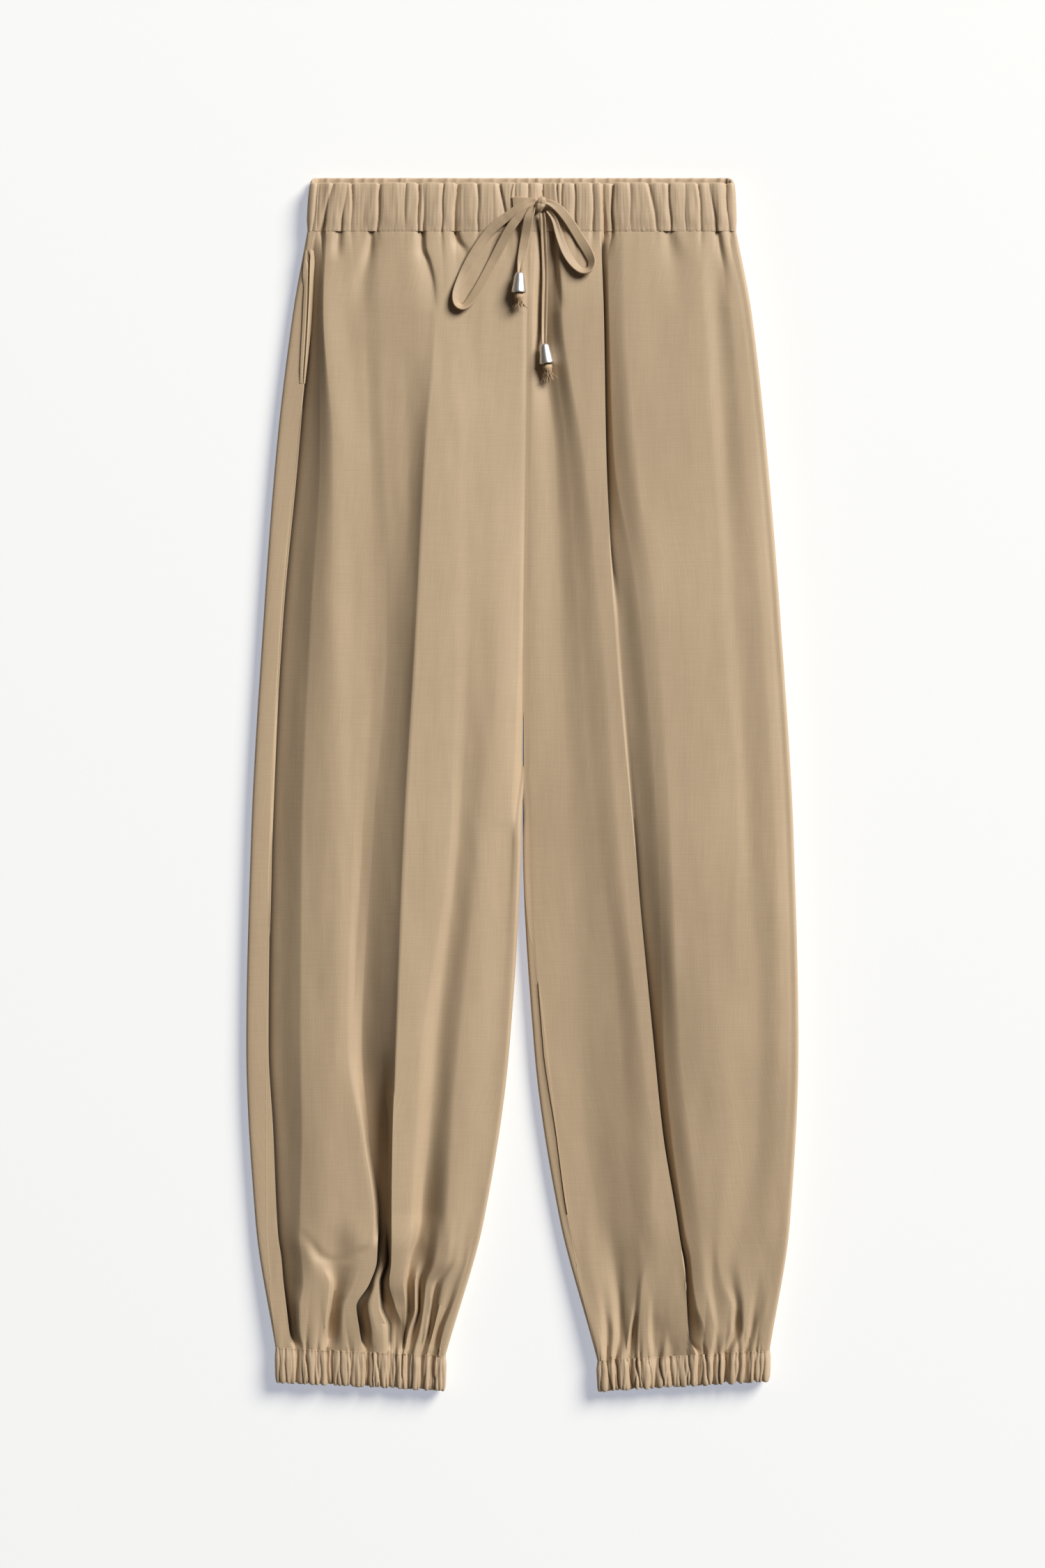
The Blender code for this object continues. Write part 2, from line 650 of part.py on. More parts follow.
def tape(name, points, finish):
    """A flat tape that lies on the cloth, lifted over what it crosses."""
    run = through(points, TAPE_STEP)
    rests = []
    for p in run:
        spread = p.width / 2
        rests.append(max(cloth_top(p.x + dx * spread, p.drop + dy * spread)
                         for dx in (-1.0, 0.0, 1.0) for dy in (-1.0, 0.0, 1.0)))
    outer = []
    inner = []
    last = len(run) - 1
    for i, p in enumerate(run):
        near = rests[max(i - 1, 0):i + 2]
        z = max(near) + TAPE_CLEAR + p.lift
        a = run[max(i - 1, 0)]
        b = run[min(i + 1, last)]
        dx = b.x - a.x
        dy = b.drop - a.drop
        long = math.hypot(dx, dy)
        side_x = dy / long * p.width / 2
        side_y = -dx / long * p.width / 2
        low = (p.x - side_x, p.drop - side_y)
        high = (p.x + side_x, p.drop + side_y)
        outer.append([place(low[0], low[1], z + TAPE_WALL), place(high[0], high[1], z + TAPE_WALL)])
        inner.append([place(low[0], low[1], z), place(high[0], high[1], z)])
    wall(name, outer, inner, finish)
    return run


def bow_knot(finish):
    """The wrapped knot of the bow, a rounded block over its tapes."""
    x, drop = KNOT_CENTRE
    width, height, thick = KNOT_SIZE
    rest = max(cloth_top(x + width * a, drop + height * b)
               for a in (-0.5, 0.0, 0.5) for b in (-0.5, 0.0, 0.5))
    bpy.ops.mesh.primitive_cube_add(size=1.0)
    made = bpy.context.object
    made.name = "bow_knot"
    made.data.name = "bow_knot"
    cx, cy, cz = place(x, drop, rest + SEAM_GAP + thick / 2)
    for vertex in made.data.vertices:
        vertex.co.x = cx + vertex.co.x * width * MM
        vertex.co.y = cy + vertex.co.y * height * MM
        vertex.co.z = cz + vertex.co.z * thick * MM
    bevel = made.modifiers.new("rounded", "BEVEL")
    bevel.width = KNOT_ROUND * MM
    bevel.segments = 2
    made.data.materials.append(finish)


def turned(name, origin, along, profile, sides, finish, jagged=0.0):
    """A turned solid along a level axis, its last ring drawn out in tufts."""
    reach = math.hypot(*along)
    ax = along[0] / reach
    ay = along[1] / reach
    points = []
    for index, (down, radius) in enumerate(profile):
        for k in range(sides):
            angle = 2 * math.pi * k / sides
            tuft = jagged * (k % 2) if index == len(profile) - 1 else 0.0
            side = radius * math.cos(angle)
            up = radius * math.sin(angle)
            away = down + tuft
            points.append(place(origin[0] + ax * away + ay * side,
                                origin[1] + ay * away - ax * side,
                                origin[2] + up))
    faces = []
    rings = len(profile)
    for r in range(rings - 1):
        for k in range(sides):
            j = (k + 1) % sides
            faces.append((r * sides + k, r * sides + j, (r + 1) * sides + j, (r + 1) * sides + k))
    for ring_index, flip in ((0, False), (rings - 1, True)):
        down = profile[ring_index][0]
        points.append(place(origin[0] + ax * down, origin[1] + ay * down, origin[2]))
        hub = len(points) - 1
        for k in range(sides):
            j = (k + 1) % sides
            face = (hub, ring_index * sides + j, ring_index * sides + k)
            faces.append(face[::-1] if flip else face)
    return add_object(name, points, faces, finish)


def cord_ends(metal, fray):
    """The bell-shaped cord ends, and the knot and frayed tuft below each."""
    for end in CORD_ENDS:
        length = max(down for down, radius in END_PROFILE)
        reach = math.hypot(end.run, length)
        ax = end.run / reach
        ay = length / reach
        z = 0.0
        for down, radius in END_PROFILE + ((length + KNOT_REACH, end.radius),):
            for share in CONTACT_SHARES:
                under = cloth_top(end.x + ax * down + share * radius, end.drop + ay * down)
                z = max(z, under + TAPE_CLEAR + radius * math.sqrt(1.0 - share * share))
        turned("cord_end_" + end.name, (end.x, end.drop, z), (ax, ay), END_PROFILE, END_SIDES, metal)
        start = END_PROFILE[-1][0] + SEAM_GAP
        knot = (end.x + ax * start, end.drop + ay * start, z)
        away = (ax + end.lean, ay)
        turned("end_knot_" + end.name, knot, away, KNOT_PROFILE, TUFT_SIDES, fray, end.tuft)


def build():
    for old in list(bpy.data.objects):
        bpy.data.objects.remove(old, do_unlink=True)
    cloth = material(CLOTH)
    casing = material(CASING_CLOTH)
    tape_finish = material(TAPE)
    metal = material(METAL)
    fray = material(FRAY)
    fronts(cloth)
    backs(cloth)
    waistband(casing)
    cuffs(casing)
    pocket_lips(cloth)
    tape("string_stub", STUB, tape_finish)
    tape("bow_loop_right", LOOP_RIGHT, tape_finish)
    tape("bow_loop_left", LOOP_LEFT, tape_finish)
    tape("tail_short", TAIL_SHORT, tape_finish)
    tape("tail_long", TAIL_LONG, tape_finish)
    bow_knot(tape_finish)
    cord_ends(metal, fray)


build()
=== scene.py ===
"""The looks of pull-on joggers laid flat on their back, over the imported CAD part.

The tables are in millimetres and the meshes in metres, in the CAD's frame. X runs
across the joggers, +Y towards the waist and +Z up from the surface they lie on. A drop
is a distance down them from the top edge of the waistband. Right and left are the
wearer's, so right is -X.
"""

import json
import math
import random
from collections import namedtuple

import bpy
import numpy as np
from mathutils import Vector, noise
from mathutils.bvhtree import BVHTree
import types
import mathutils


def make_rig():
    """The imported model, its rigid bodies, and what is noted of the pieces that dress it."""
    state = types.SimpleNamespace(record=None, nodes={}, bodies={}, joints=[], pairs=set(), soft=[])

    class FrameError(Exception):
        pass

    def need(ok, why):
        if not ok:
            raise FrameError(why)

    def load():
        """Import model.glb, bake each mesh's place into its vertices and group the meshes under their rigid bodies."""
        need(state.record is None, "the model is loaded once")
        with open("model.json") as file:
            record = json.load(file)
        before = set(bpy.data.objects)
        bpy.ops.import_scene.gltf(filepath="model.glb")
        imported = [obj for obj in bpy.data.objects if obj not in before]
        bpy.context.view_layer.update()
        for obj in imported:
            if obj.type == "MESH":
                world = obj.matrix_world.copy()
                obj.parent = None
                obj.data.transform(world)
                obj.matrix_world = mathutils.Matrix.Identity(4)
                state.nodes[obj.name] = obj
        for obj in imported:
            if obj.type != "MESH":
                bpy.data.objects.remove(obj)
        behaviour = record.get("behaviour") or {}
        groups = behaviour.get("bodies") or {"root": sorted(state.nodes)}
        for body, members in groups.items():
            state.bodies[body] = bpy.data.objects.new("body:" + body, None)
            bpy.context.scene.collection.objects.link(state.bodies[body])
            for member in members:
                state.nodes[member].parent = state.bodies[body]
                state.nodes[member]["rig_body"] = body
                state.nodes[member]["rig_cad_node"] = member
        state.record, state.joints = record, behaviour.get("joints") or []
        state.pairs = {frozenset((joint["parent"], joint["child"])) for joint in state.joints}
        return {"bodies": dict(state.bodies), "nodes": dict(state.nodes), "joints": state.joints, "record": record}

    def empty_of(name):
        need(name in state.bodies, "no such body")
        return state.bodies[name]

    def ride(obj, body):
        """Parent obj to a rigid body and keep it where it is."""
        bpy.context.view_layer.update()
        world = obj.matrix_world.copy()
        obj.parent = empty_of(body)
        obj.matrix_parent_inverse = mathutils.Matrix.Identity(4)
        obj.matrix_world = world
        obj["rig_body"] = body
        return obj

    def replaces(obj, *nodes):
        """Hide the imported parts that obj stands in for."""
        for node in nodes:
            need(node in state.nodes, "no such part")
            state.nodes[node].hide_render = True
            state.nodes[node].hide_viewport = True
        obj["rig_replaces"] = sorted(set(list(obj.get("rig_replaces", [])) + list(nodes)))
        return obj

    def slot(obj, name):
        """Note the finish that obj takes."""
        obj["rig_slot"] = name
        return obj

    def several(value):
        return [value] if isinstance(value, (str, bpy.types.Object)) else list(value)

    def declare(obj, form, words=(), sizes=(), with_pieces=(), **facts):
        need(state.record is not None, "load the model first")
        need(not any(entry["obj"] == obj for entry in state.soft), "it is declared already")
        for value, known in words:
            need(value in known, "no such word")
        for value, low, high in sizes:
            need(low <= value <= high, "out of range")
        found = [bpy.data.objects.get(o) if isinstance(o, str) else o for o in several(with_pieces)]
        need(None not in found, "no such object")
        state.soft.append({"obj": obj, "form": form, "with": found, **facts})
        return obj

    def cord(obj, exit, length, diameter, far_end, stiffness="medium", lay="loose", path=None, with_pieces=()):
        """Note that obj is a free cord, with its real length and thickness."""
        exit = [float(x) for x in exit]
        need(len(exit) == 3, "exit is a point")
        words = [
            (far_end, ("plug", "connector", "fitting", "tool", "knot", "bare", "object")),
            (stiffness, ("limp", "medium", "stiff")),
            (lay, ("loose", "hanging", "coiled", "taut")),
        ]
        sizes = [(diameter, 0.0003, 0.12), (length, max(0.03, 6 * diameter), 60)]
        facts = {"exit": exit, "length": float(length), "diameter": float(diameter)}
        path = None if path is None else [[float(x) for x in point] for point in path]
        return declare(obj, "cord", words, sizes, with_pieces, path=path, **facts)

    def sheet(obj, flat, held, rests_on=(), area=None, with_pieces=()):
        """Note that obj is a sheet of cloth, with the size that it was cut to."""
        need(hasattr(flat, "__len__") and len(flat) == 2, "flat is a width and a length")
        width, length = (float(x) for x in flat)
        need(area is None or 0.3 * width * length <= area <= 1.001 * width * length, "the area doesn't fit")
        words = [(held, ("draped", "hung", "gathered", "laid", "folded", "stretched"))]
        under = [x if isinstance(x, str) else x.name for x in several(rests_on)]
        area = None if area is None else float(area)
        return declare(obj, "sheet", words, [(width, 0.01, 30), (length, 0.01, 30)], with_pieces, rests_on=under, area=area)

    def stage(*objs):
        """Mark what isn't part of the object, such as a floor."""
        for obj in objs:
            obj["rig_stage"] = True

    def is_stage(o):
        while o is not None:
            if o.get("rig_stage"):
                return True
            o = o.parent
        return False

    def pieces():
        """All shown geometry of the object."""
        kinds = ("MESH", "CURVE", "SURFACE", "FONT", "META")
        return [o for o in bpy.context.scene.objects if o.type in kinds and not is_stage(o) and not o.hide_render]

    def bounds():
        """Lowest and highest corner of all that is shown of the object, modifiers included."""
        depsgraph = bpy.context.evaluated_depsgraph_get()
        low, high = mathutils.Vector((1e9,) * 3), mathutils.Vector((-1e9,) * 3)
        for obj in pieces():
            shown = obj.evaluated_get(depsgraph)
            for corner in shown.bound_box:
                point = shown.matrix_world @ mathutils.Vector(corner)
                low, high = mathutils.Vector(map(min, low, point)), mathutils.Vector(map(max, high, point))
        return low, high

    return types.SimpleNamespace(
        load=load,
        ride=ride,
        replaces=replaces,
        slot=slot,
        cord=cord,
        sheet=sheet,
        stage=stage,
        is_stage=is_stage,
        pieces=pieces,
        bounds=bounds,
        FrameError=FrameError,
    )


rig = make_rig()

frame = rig.load()
cad_low, cad_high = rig.bounds()

MM = 0.001
UP = np.array((0.0, 0.0, 1.0))

# The CAD's driving sizes.
LENGTH = 1003.0
HALF_GAP = 0.15
WAIST_SEAM = 45.5
CUFF_SEAM = 968.0
FRONT_EDGE_DROP = 5.8
SIDE_LEAD = 9.0
CURL_FROM = 478.0
CURL_TO = 547.0
SLANT_FROM = 861.0
SECTIONS = (45.5, 113.0, 228.0, 372.0, 545.0, 717.0, 861.0, 968.0)

# The long folds of each front, across from its outer or inner edge: steps of points
# before the fold, how crisp it is (0 round, 1 a corner), how far it leans across, and
# where it lies and how high it stands at each of the levels.
LEVELS = (45.5, 113.0, 228.0, 372.0, 545.0, 717.0, 789.0, 861.0, 918.0, 968.0)
Fold = namedtuple("Fold", "name steps crisp lean across height")

RIGHT_FOLDS = (
    Fold("strip edge", 5, 0.9, 0,
         (-173.9, -176.2, -185.4, -198.7, -207.3, -209.6, -205.6, -202.1, -196.4, -188.9),
         (13.5, 11, 10, 9.5, 9.5, 9.5, 9.5, 9.5, 11, 13.5)),
    Fold("side valley", 6, 0.9, 0,
         (-171.1, -172.8, -182.6, -196.1, -204.6, -206.9, -203, -199.9, -193.5, -185.4),
         (13, 5, 3.5, 3.5, 3.5, 3.5, 3.5, 4, 6, 12.5)),
    Fold("side climb", 14, 0.6, 0,
         (-165.3, -166, -166.5, -174.5, -181.4, -182.6, -181.4, -183, -183, -179.1),
         (13.3, 13.5, 14.4, 14.6, 14.8, 14.8, 14.4, 14, 14, 13.7)),
    Fold("hip plateau", 16, 0, 0,
         (-160.7, -163, -155, -155, -153.8, -155, -158.4, -161.9, -168.8, -172.2),
         (15, 17, 19, 18.5, 17.4, 16.6, 17, 17, 17, 15.5)),
    Fold("plateau end", 8, 0, 0,
         (-141.2, -141.7, -136.6, -137.7, -140.6, -144.5, -134.3, -127.4, -156.1, -155),
         (14.5, 15.5, 17.5, 16.5, 16, 15.2, 17, 17, 16.5, 15)),
    Fold("valley brink", 8, 0.3, 0,
         (-130.8, -129.7, -125.1, -121.6, -131.4, -139, -131, -121.6, -130.8, -132),
         (14, 16, 16.5, 15.3, 14.5, 12.8, 16.5, 16.5, 15.5, 14.5)),
    Fold("main valley", 6, 0.3, 0,
         (-119.3, -117.6, -113.6, -111.3, -122.8, -132.2, -127.2, -117.6, -126.2, -125.6),
         (15, 17.5, 17.8, 16, 15.5, 9.8, 5, 4.5, 6.5, 12)),
    Fold("main climb", 14, 0, 0,
         (-100.3, -100.3, -95.2, -97.5, -109, -117, -110.2, -111.3, -111.3, -113.6),
         (15.5, 18, 18.3, 20.5, 20.5, 16.6, 9, 9.5, 11.5, 14)),
    Fold("main ridge", 12, 0.9, -0.6,
         (-81.4, -71, -79.1, -86.5, -96.3, -102.9, -105.8, -106.7, -104.4, -102.1),
         (15.5, 19.5, 23.8, 26.2, 27, 27, 25, 22, 17, 15.5)),
    Fold("ridge side", 12, 0, 0,
         (-65.3, -60.1, -54.3, -56.1, -60.1, -83.7, -88.3, -91.7, -92.9, -91.7),
         (15.5, 19, 21.8, 23.4, 22.6, 23.8, 22, 19, 14.5, 14.5)),
    Fold("inner trough", 12, 0, 0,
         (-51.5, -44.6, -42.3, -42.3, -51.5, -69.9, -75.6, -82.5, -84.2, -86),
         (14.5, 17.6, 20, 21.4, 20.6, 18, 16.3, 10.5, 9, 13)),
    Fold("inner plateau", 12, 0, 0,
         (-34.2, -28.5, -25.6, -21.6, -34.2, -51.5, -57.2, -61.8, -73.3, -79.1),
         (15, 17, 18.3, 20.4, 22.7, 23.2, 23, 22, 18, 15.5)),
    Fold("inner crest", 10, 0.5, 0,
         (-0.9, 0.3, -0.3, -2, -8.3, -18.7, -27.3, -40, -56.1, -73.3),
         (15, 15.5, 15.2, 16.4, 19, 20, 20, 19, 17, 15.5)),
)

LEFT_FOLDS = (
    Fold("inner lip", 6, 0, 0,
         (10.6, 8.3, 7.2, 7.2, 8.3, 17, 27.9, 38.2, 56.1, 71.6),
         (14.2, 13.9, 14, 13.6, 10.4, 9.5, 9.5, 9.5, 10.5, 13.8)),
    Fold("channel floor", 8, 0, 0,
         (17.5, 15.2, 26.7, 31.3, 37.7, 46.3, 50.9, 58.9, 67, 75),
         (12.5, 9, 12, 12.2, 10.8, 10, 9.5, 9.5, 10.5, 13)),
    Fold("channel climb", 12, 0, 0,
         (24.4, 24.4, 37.1, 47.4, 60.7, 80.2, 80.8, 88.8, 84.2, 83.7),
         (13.5, 13, 15, 14.5, 14, 14.5, 14.5, 15, 14, 14)),
    Fold("channel side", 14, 0, 0,
         (32.5, 33.6, 50.9, 65.8, 80.8, 99.2, 107.2, 108.4, 102.6, 89.4),
         (15, 19, 19, 17.5, 17.5, 19, 19.5, 19.5, 18.5, 15.5)),
    Fold("pleat ridge", 18, 0.9, 0,
         (64.7, 67.6, 69.3, 76.2, 92.3, 109, 116.4, 128.5, 135.9, 142.9),
         (15.5, 19, 18.5, 17.5, 17.5, 19, 19.5, 19.5, 18.7, 15.5)),
    Fold("pleat valley", 5, 0.8, 0,
         (67.6, 70.1, 72.2, 80, 94.9, 111.3, 118.7, 130.5, 138, 145.2),
         (12.5, 6, 4, 16.7, 14, 4, 4, 5.3, 6, 7)),
    Fold("pleat climb", 10, 0.2, 0,
         (72.7, 74, 77.5, 98, 111.5, 118, 124.5, 134.9, 142.9, 152),
         (14, 14, 12.5, 22.6, 21.8, 13.5, 13.5, 13.8, 15, 14.5)),
    Fold("plateau start", 22, 0, 0,
         (83.7, 84.8, 94, 112, 123, 130.5, 138, 147, 151, 156),
         (15.5, 17, 18, 24.3, 24.3, 19, 18.6, 17.8, 17.5, 15)),
    Fold("wide plateau", 14, 0, 0,
         (144, 148.6, 155.5, 164.2, 175.7, 164.7, 167, 162, 160, 163),
         (15, 17.5, 18, 22.5, 22.4, 21.4, 19.6, 18.3, 17.5, 15)),
    Fold("outer dip", 8, 0, 0,
         (157.8, 161.3, 168.2, 177.4, 187.7, 193.5, 192.9, 179.7, 170.5, 177.4),
         (14, 16, 16.8, 21.3, 21, 20, 17.6, 17.4, 14, 14)),
    Fold("outer swell", 10, 0, 0,
         (163.6, 172.8, 184.3, 195.8, 206.1, 210.7, 209.6, 203.8, 188.9, 186.6),
         (14.8, 17.6, 18.3, 22, 22, 21.6, 19.7, 19.8, 17.5, 15)),
    Fold("outer shoulder", 6, 0.4, 0,
         (167.6, 180.3, 192.9, 203.8, 214.2, 218.2, 216.5, 211.3, 199.8, 192.3),
         (14, 17.4, 18, 21, 21, 20.8, 20.2, 19.8, 17.3, 15)),
)

# The folds above each cuff: how crisp each is, where it lies across and how high it
# stands at each of the foot levels.
FOOT_LEVELS = (857.9, 875.1, 893.5, 912.5, 931.5, 949.3, 967.7)
FootFold = namedtuple("FootFold", "name crisp across height")

RIGHT_FOOT = (
    FootFold("strip crest", 0.8, (-202.7, -201, -198.1, -196.4, -194.1, -191.2, -188.9),
             (9.5, 10, 10.7, 11.5, 12.3, 13, 13.5)),
    FootFold("side valley", 0.7, (-200.4, -198.7, -195.8, -194.1, -191.8, -189.5, -187.2),
             (3.5, 3.5, 3.5, 3.5, 4, 5, 11.5)),
    FootFold("side climb", 0.3, (-184.9, -183.7, -181.4, -180.3, -182.6, -182, -180.3),
             (13.5, 14.5, 15.5, 16, 16, 15.5, 14)),
    FootFold("plateau", 0, (-174.5, -173.9, -172.8, -169.3, -171.1, -172.2, -172.2),
             (16.5, 17, 17.5, 17, 16.5, 16, 15)),
    FootFold("dent brink", 0, (-160.7, -165.3, -167, -158.4, -160.1, -162.4, -163.6),
             (17.5, 17, 16.5, 16.5, 16, 15.5, 15)),
    FootFold("calf dent", 0.2, (-150.4, -152.7, -155, -155, -157.3, -159.6, -160.7),
             (17, 15, 13.5, 11, 8, 6, 11)),
    FootFold("calf climb", 0.1, (-135.4, -134.3, -133.7, -138.9, -146.9, -148.6, -149.2),
             (18, 18, 17.5, 17, 16.5, 15.5, 14)),
    FootFold("calf edge", 0.85, (-119.9, -118.2, -118.7, -125.1, -136, -133.7, -130.8),
             (17.5, 17.5, 17.5, 17, 16.5, 16, 14.5)),
    FootFold("calf slot", 0.6, (-117.6, -116.1, -116.7, -123, -133.7, -131.4, -128.5),
             (3.5, 3.5, 5, 3, 2.6, 3, 10)),
    FootFold("tongue start", 0.2, (-115.3, -114.1, -115, -121, -126.2, -123.3, -121.6),
             (5, 6.5, 10, 13.5, 14.5, 15, 14)),
    FootFold("tongue end", 0.5, (-114.1, -113, -113, -118.7, -118.2, -111.8, -111.3),
             (5.5, 6.5, 9.5, 13.5, 14.5, 15, 14)),
    FootFold("ridge valley", 0.3, (-112.7, -111.3, -110.7, -116.1, -115.3, -109, -109),
             (5, 5, 5, 4, 4, 5, 11)),
    FootFold("ridge crest", 0.7, (-106.7, -106.7, -107.2, -109.5, -104.4, -98.6, -102.1),
             (25, 23.5, 20.5, 17, 11, 9, 13.5)),
    FootFold("ridge side", 0.1, (-88.8, -91.7, -95.2, -97.5, -96.3, -97.5, -100.9),
             (22.5, 20.5, 18.5, 16, 11, 9.5, 13.5)),
    FootFold("trough", 0.1, (-83.1, -86, -92.3, -94.6, -94, -96.3, -99.2),
             (14, 11, 9, 7.5, 7, 8, 12.5)),
    FootFold("small roll", 0.3, (-77.9, -80.2, -83.7, -88.3, -88.3, -93.4, -97.5),
             (15.5, 14, 11.5, 14.5, 15.5, 15, 14.5)),
    FootFold("small valley", 0.3, (-75, -76.8, -79.6, -84.8, -84.8, -89.4, -94),
             (17.5, 15.5, 13, 8, 6.5, 7, 11.5)),
    FootFold("roll start", 0.2, (-68.1, -68.7, -71.6, -79.1, -81.4, -84.2, -89.4),
             (22, 21, 20, 16.5, 15.5, 15.5, 15)),
    FootFold("roll end", 0.3, (-57.8, -59.5, -61.8, -73.3, -76.5, -79.6, -84.8),
             (22.5, 22, 20.5, 16, 15.5, 15, 14.5)),
    FootFold("inner valley", 0.3, (-54.3, -56.1, -58.4, -71, -74.5, -77, -82.8),
             (21.5, 21, 19.5, 13.5, 9.5, 8, 11)),
    FootFold("inner roll", 0.2, (-49.2, -50.9, -54.3, -64.1, -68.7, -73.3, -78.5),
             (20.5, 20, 19.5, 18, 16.5, 15.5, 14.5)),
    FootFold("last valley", 0.3, (-45.1, -46.9, -49.2, -56.6, -62.4, -69.3, -73.3),
             (19.5, 19, 18, 15.5, 12.5, 9.5, 11.5)),
    FootFold("inner crest", 0.4, (-40, -42.3, -45.1, -50.9, -58.4, -65.3, -69.3),
             (20, 19, 18.5, 17.5, 16.5, 15.5, 15)),
)

LEFT_FOOT = (
    FootFold("inner start", 0, (50.9, 54.9, 57.8, 60.7, 63.5, 65.8, 67),
             (10, 10.5, 11, 11.5, 12, 12.5, 13)),
    FootFold("first dent", 0.3, (57.8, 61.8, 64.7, 67, 68.7, 70.4, 69.6),
             (10.4, 10.6, 10.8, 11, 10.8, 9.5, 11.5)),
    FootFold("first roll", 0.1, (64.1, 67, 69.3, 71.6, 73.9, 75.6, 73.9),
             (10.2, 10.2, 10.3, 10.6, 11.3, 12.8, 14)),
    FootFold("channel floor", 0.1, (71.6, 73.3, 75.6, 77.9, 80.2, 80.8, 77.3),
             (9.5, 9.3, 9.3, 9.3, 9.3, 9.5, 12)),
    FootFold("channel mid", 0, (80.8, 82.5, 84.8, 84.8, 85.4, 85.4, 81.4),
             (12.5, 12.3, 12.2, 12, 12, 11.5, 14)),
    FootFold("channel climb", 0.2, (88.8, 92.3, 94.6, 92.9, 91.1, 88.3, 84.8),
             (15, 15.3, 15.2, 14.8, 14, 13, 14)),
    FootFold("roll slot", 0.4, (93.4, 95.7, 96.9, 94.9, 93.1, 91.1, 88.8),
             (15.8, 16, 16, 15.6, 14, 9, 10.5)),
    FootFold("roll crest", 0.3, (100.3, 102.1, 101.5, 98.6, 96.9, 95.4, 94.6),
             (16.5, 16.5, 17, 17.5, 17, 16.5, 15)),
    FootFold("roll side", 0.1, (111.8, 111.8, 110.7, 104.9, 103.8, 103.2, 103.8),
             (18.6, 18.2, 17.8, 17.2, 16.6, 15.8, 15)),
    FootFold("side dent", 0.3, (118.2, 118.2, 117, 110.1, 107.8, 107.8, 110.1),
             (18.8, 18.4, 18, 17.2, 15.5, 12.5, 11.5)),
    FootFold("dent climb", 0.2, (123.9, 124.5, 123.9, 122.2, 119.3, 119.9, 117),
             (19, 18.7, 18.4, 18, 17.2, 16, 14.5)),
    FootFold("seam dent", 0.2, (125.6, 126.8, 128.5, 130.8, 124.5, 124.5, 125.6),
             (19.2, 19, 18.7, 18.2, 17.4, 16, 12.5)),
    FootFold("pleat edge", 0.85, (127.9, 131.4, 134.8, 135.7, 136.3, 137.7, 142.9),
             (19.5, 19.5, 19.5, 19, 18.5, 17.5, 15.5)),
    FootFold("pleat valley", 0.6, (129.9, 133.4, 136.8, 137.7, 138.6, 140, 145.2),
             (5.5, 5.5, 6, 6, 6, 5, 10.5)),
    FootFold("pleat climb", 0.2, (134.3, 137.7, 141.2, 142.9, 145.8, 150.9, 152.1),
             (14, 14.5, 15, 15, 15.5, 15, 14.5)),
    FootFold("wide start", 0, (147.5, 148.6, 149.8, 150.9, 154.4, 157.8, 155),
             (17.5, 17.5, 17.5, 17, 16.5, 15.5, 15)),
    FootFold("seam slot", 0.2, (154.4, 155.5, 156.7, 157.3, 160.1, 161.9, 157.8),
             (17.8, 17.4, 16.8, 16, 15, 14.5, 11.5)),
    FootFold("wide end", 0.1, (161.9, 161.3, 161.9, 165.9, 172.2, 172.2, 163.6),
             (18.5, 18.2, 17.8, 17.2, 16.4, 15.2, 15)),
    FootFold("swell foot", 0.2, (169.3, 168.8, 169.3, 172.8, 176.8, 176.2, 167.6),
             (18.8, 18.4, 17.8, 16.6, 14.5, 11, 11.5)),
    FootFold("swell climb", 0.1, (179.7, 179.7, 178.5, 180.8, 182.6, 182.6, 173.9),
             (19.5, 19.2, 18.8, 18.3, 17.5, 16.3, 15)),
    FootFold("swell end", 0.1, (191.2, 190, 190, 189.5, 187.7, 186, 182),
             (20, 19.5, 19, 18, 17, 15.5, 15)),
    FootFold("last dent", 0.2, (195.8, 195.2, 194.6, 194.1, 191.2, 188.9, 184.9),
             (20, 19.6, 19, 17.6, 15.5, 12.5, 12)),
    FootFold("last roll", 0.1, (202.1, 201.5, 200.4, 199.2, 196.9, 194.1, 190),
             (20.5, 20, 19, 18, 16.5, 15.5, 14.5)),
    FootFold("outer shoulder", 0.1, (210.2, 208.4, 206.1, 203.8, 201, 198.1, 194.6),
             (20.5, 20, 19, 18, 17, 15.5, 14.5)),
)

# Each edge of a half: where it lies across, how thick the laid joggers are there, and
# where the seam between front and back lies. A crown is how high the front stands there.
Edge = namedtuple("Edge", "across thick seam")
RIGHT_CROWN = (14.5, 15.0, 15.2, 17.2, 19.5, 20.0, 19.0, 15.0)
LEFT_CROWN = (13.5, 17.0, 17.5, 20.0, 20.0, 20.0, 20.0, 14.5)
# How full the laid edges are: 1 is a half circle.
EDGE_BEND = 0.5
# Valleys whose floor is drawn in under the fold before them, so that its fall is hidden: how
# far past the valley the pull reaches. A fall as deep as CRISP_FALL makes both fully crisp.
TUCKED = {"side valley": 7.0, "pleat valley": 7.0, "calf slot": 1.7}
CRISP_FALL = 4.0
# How much steeper than its run a crisp corner starts, and how close two folds may come.
CRISP_SLOPE = 1.3
LEAST_ROOM = 0.4
LEAST_SPAN = 0.3
# Where the folds above a cuff take over from the long ones.
FOOT_FROM = 852.0
FOOT_TO = {"right": 884.0, "left": 914.0}

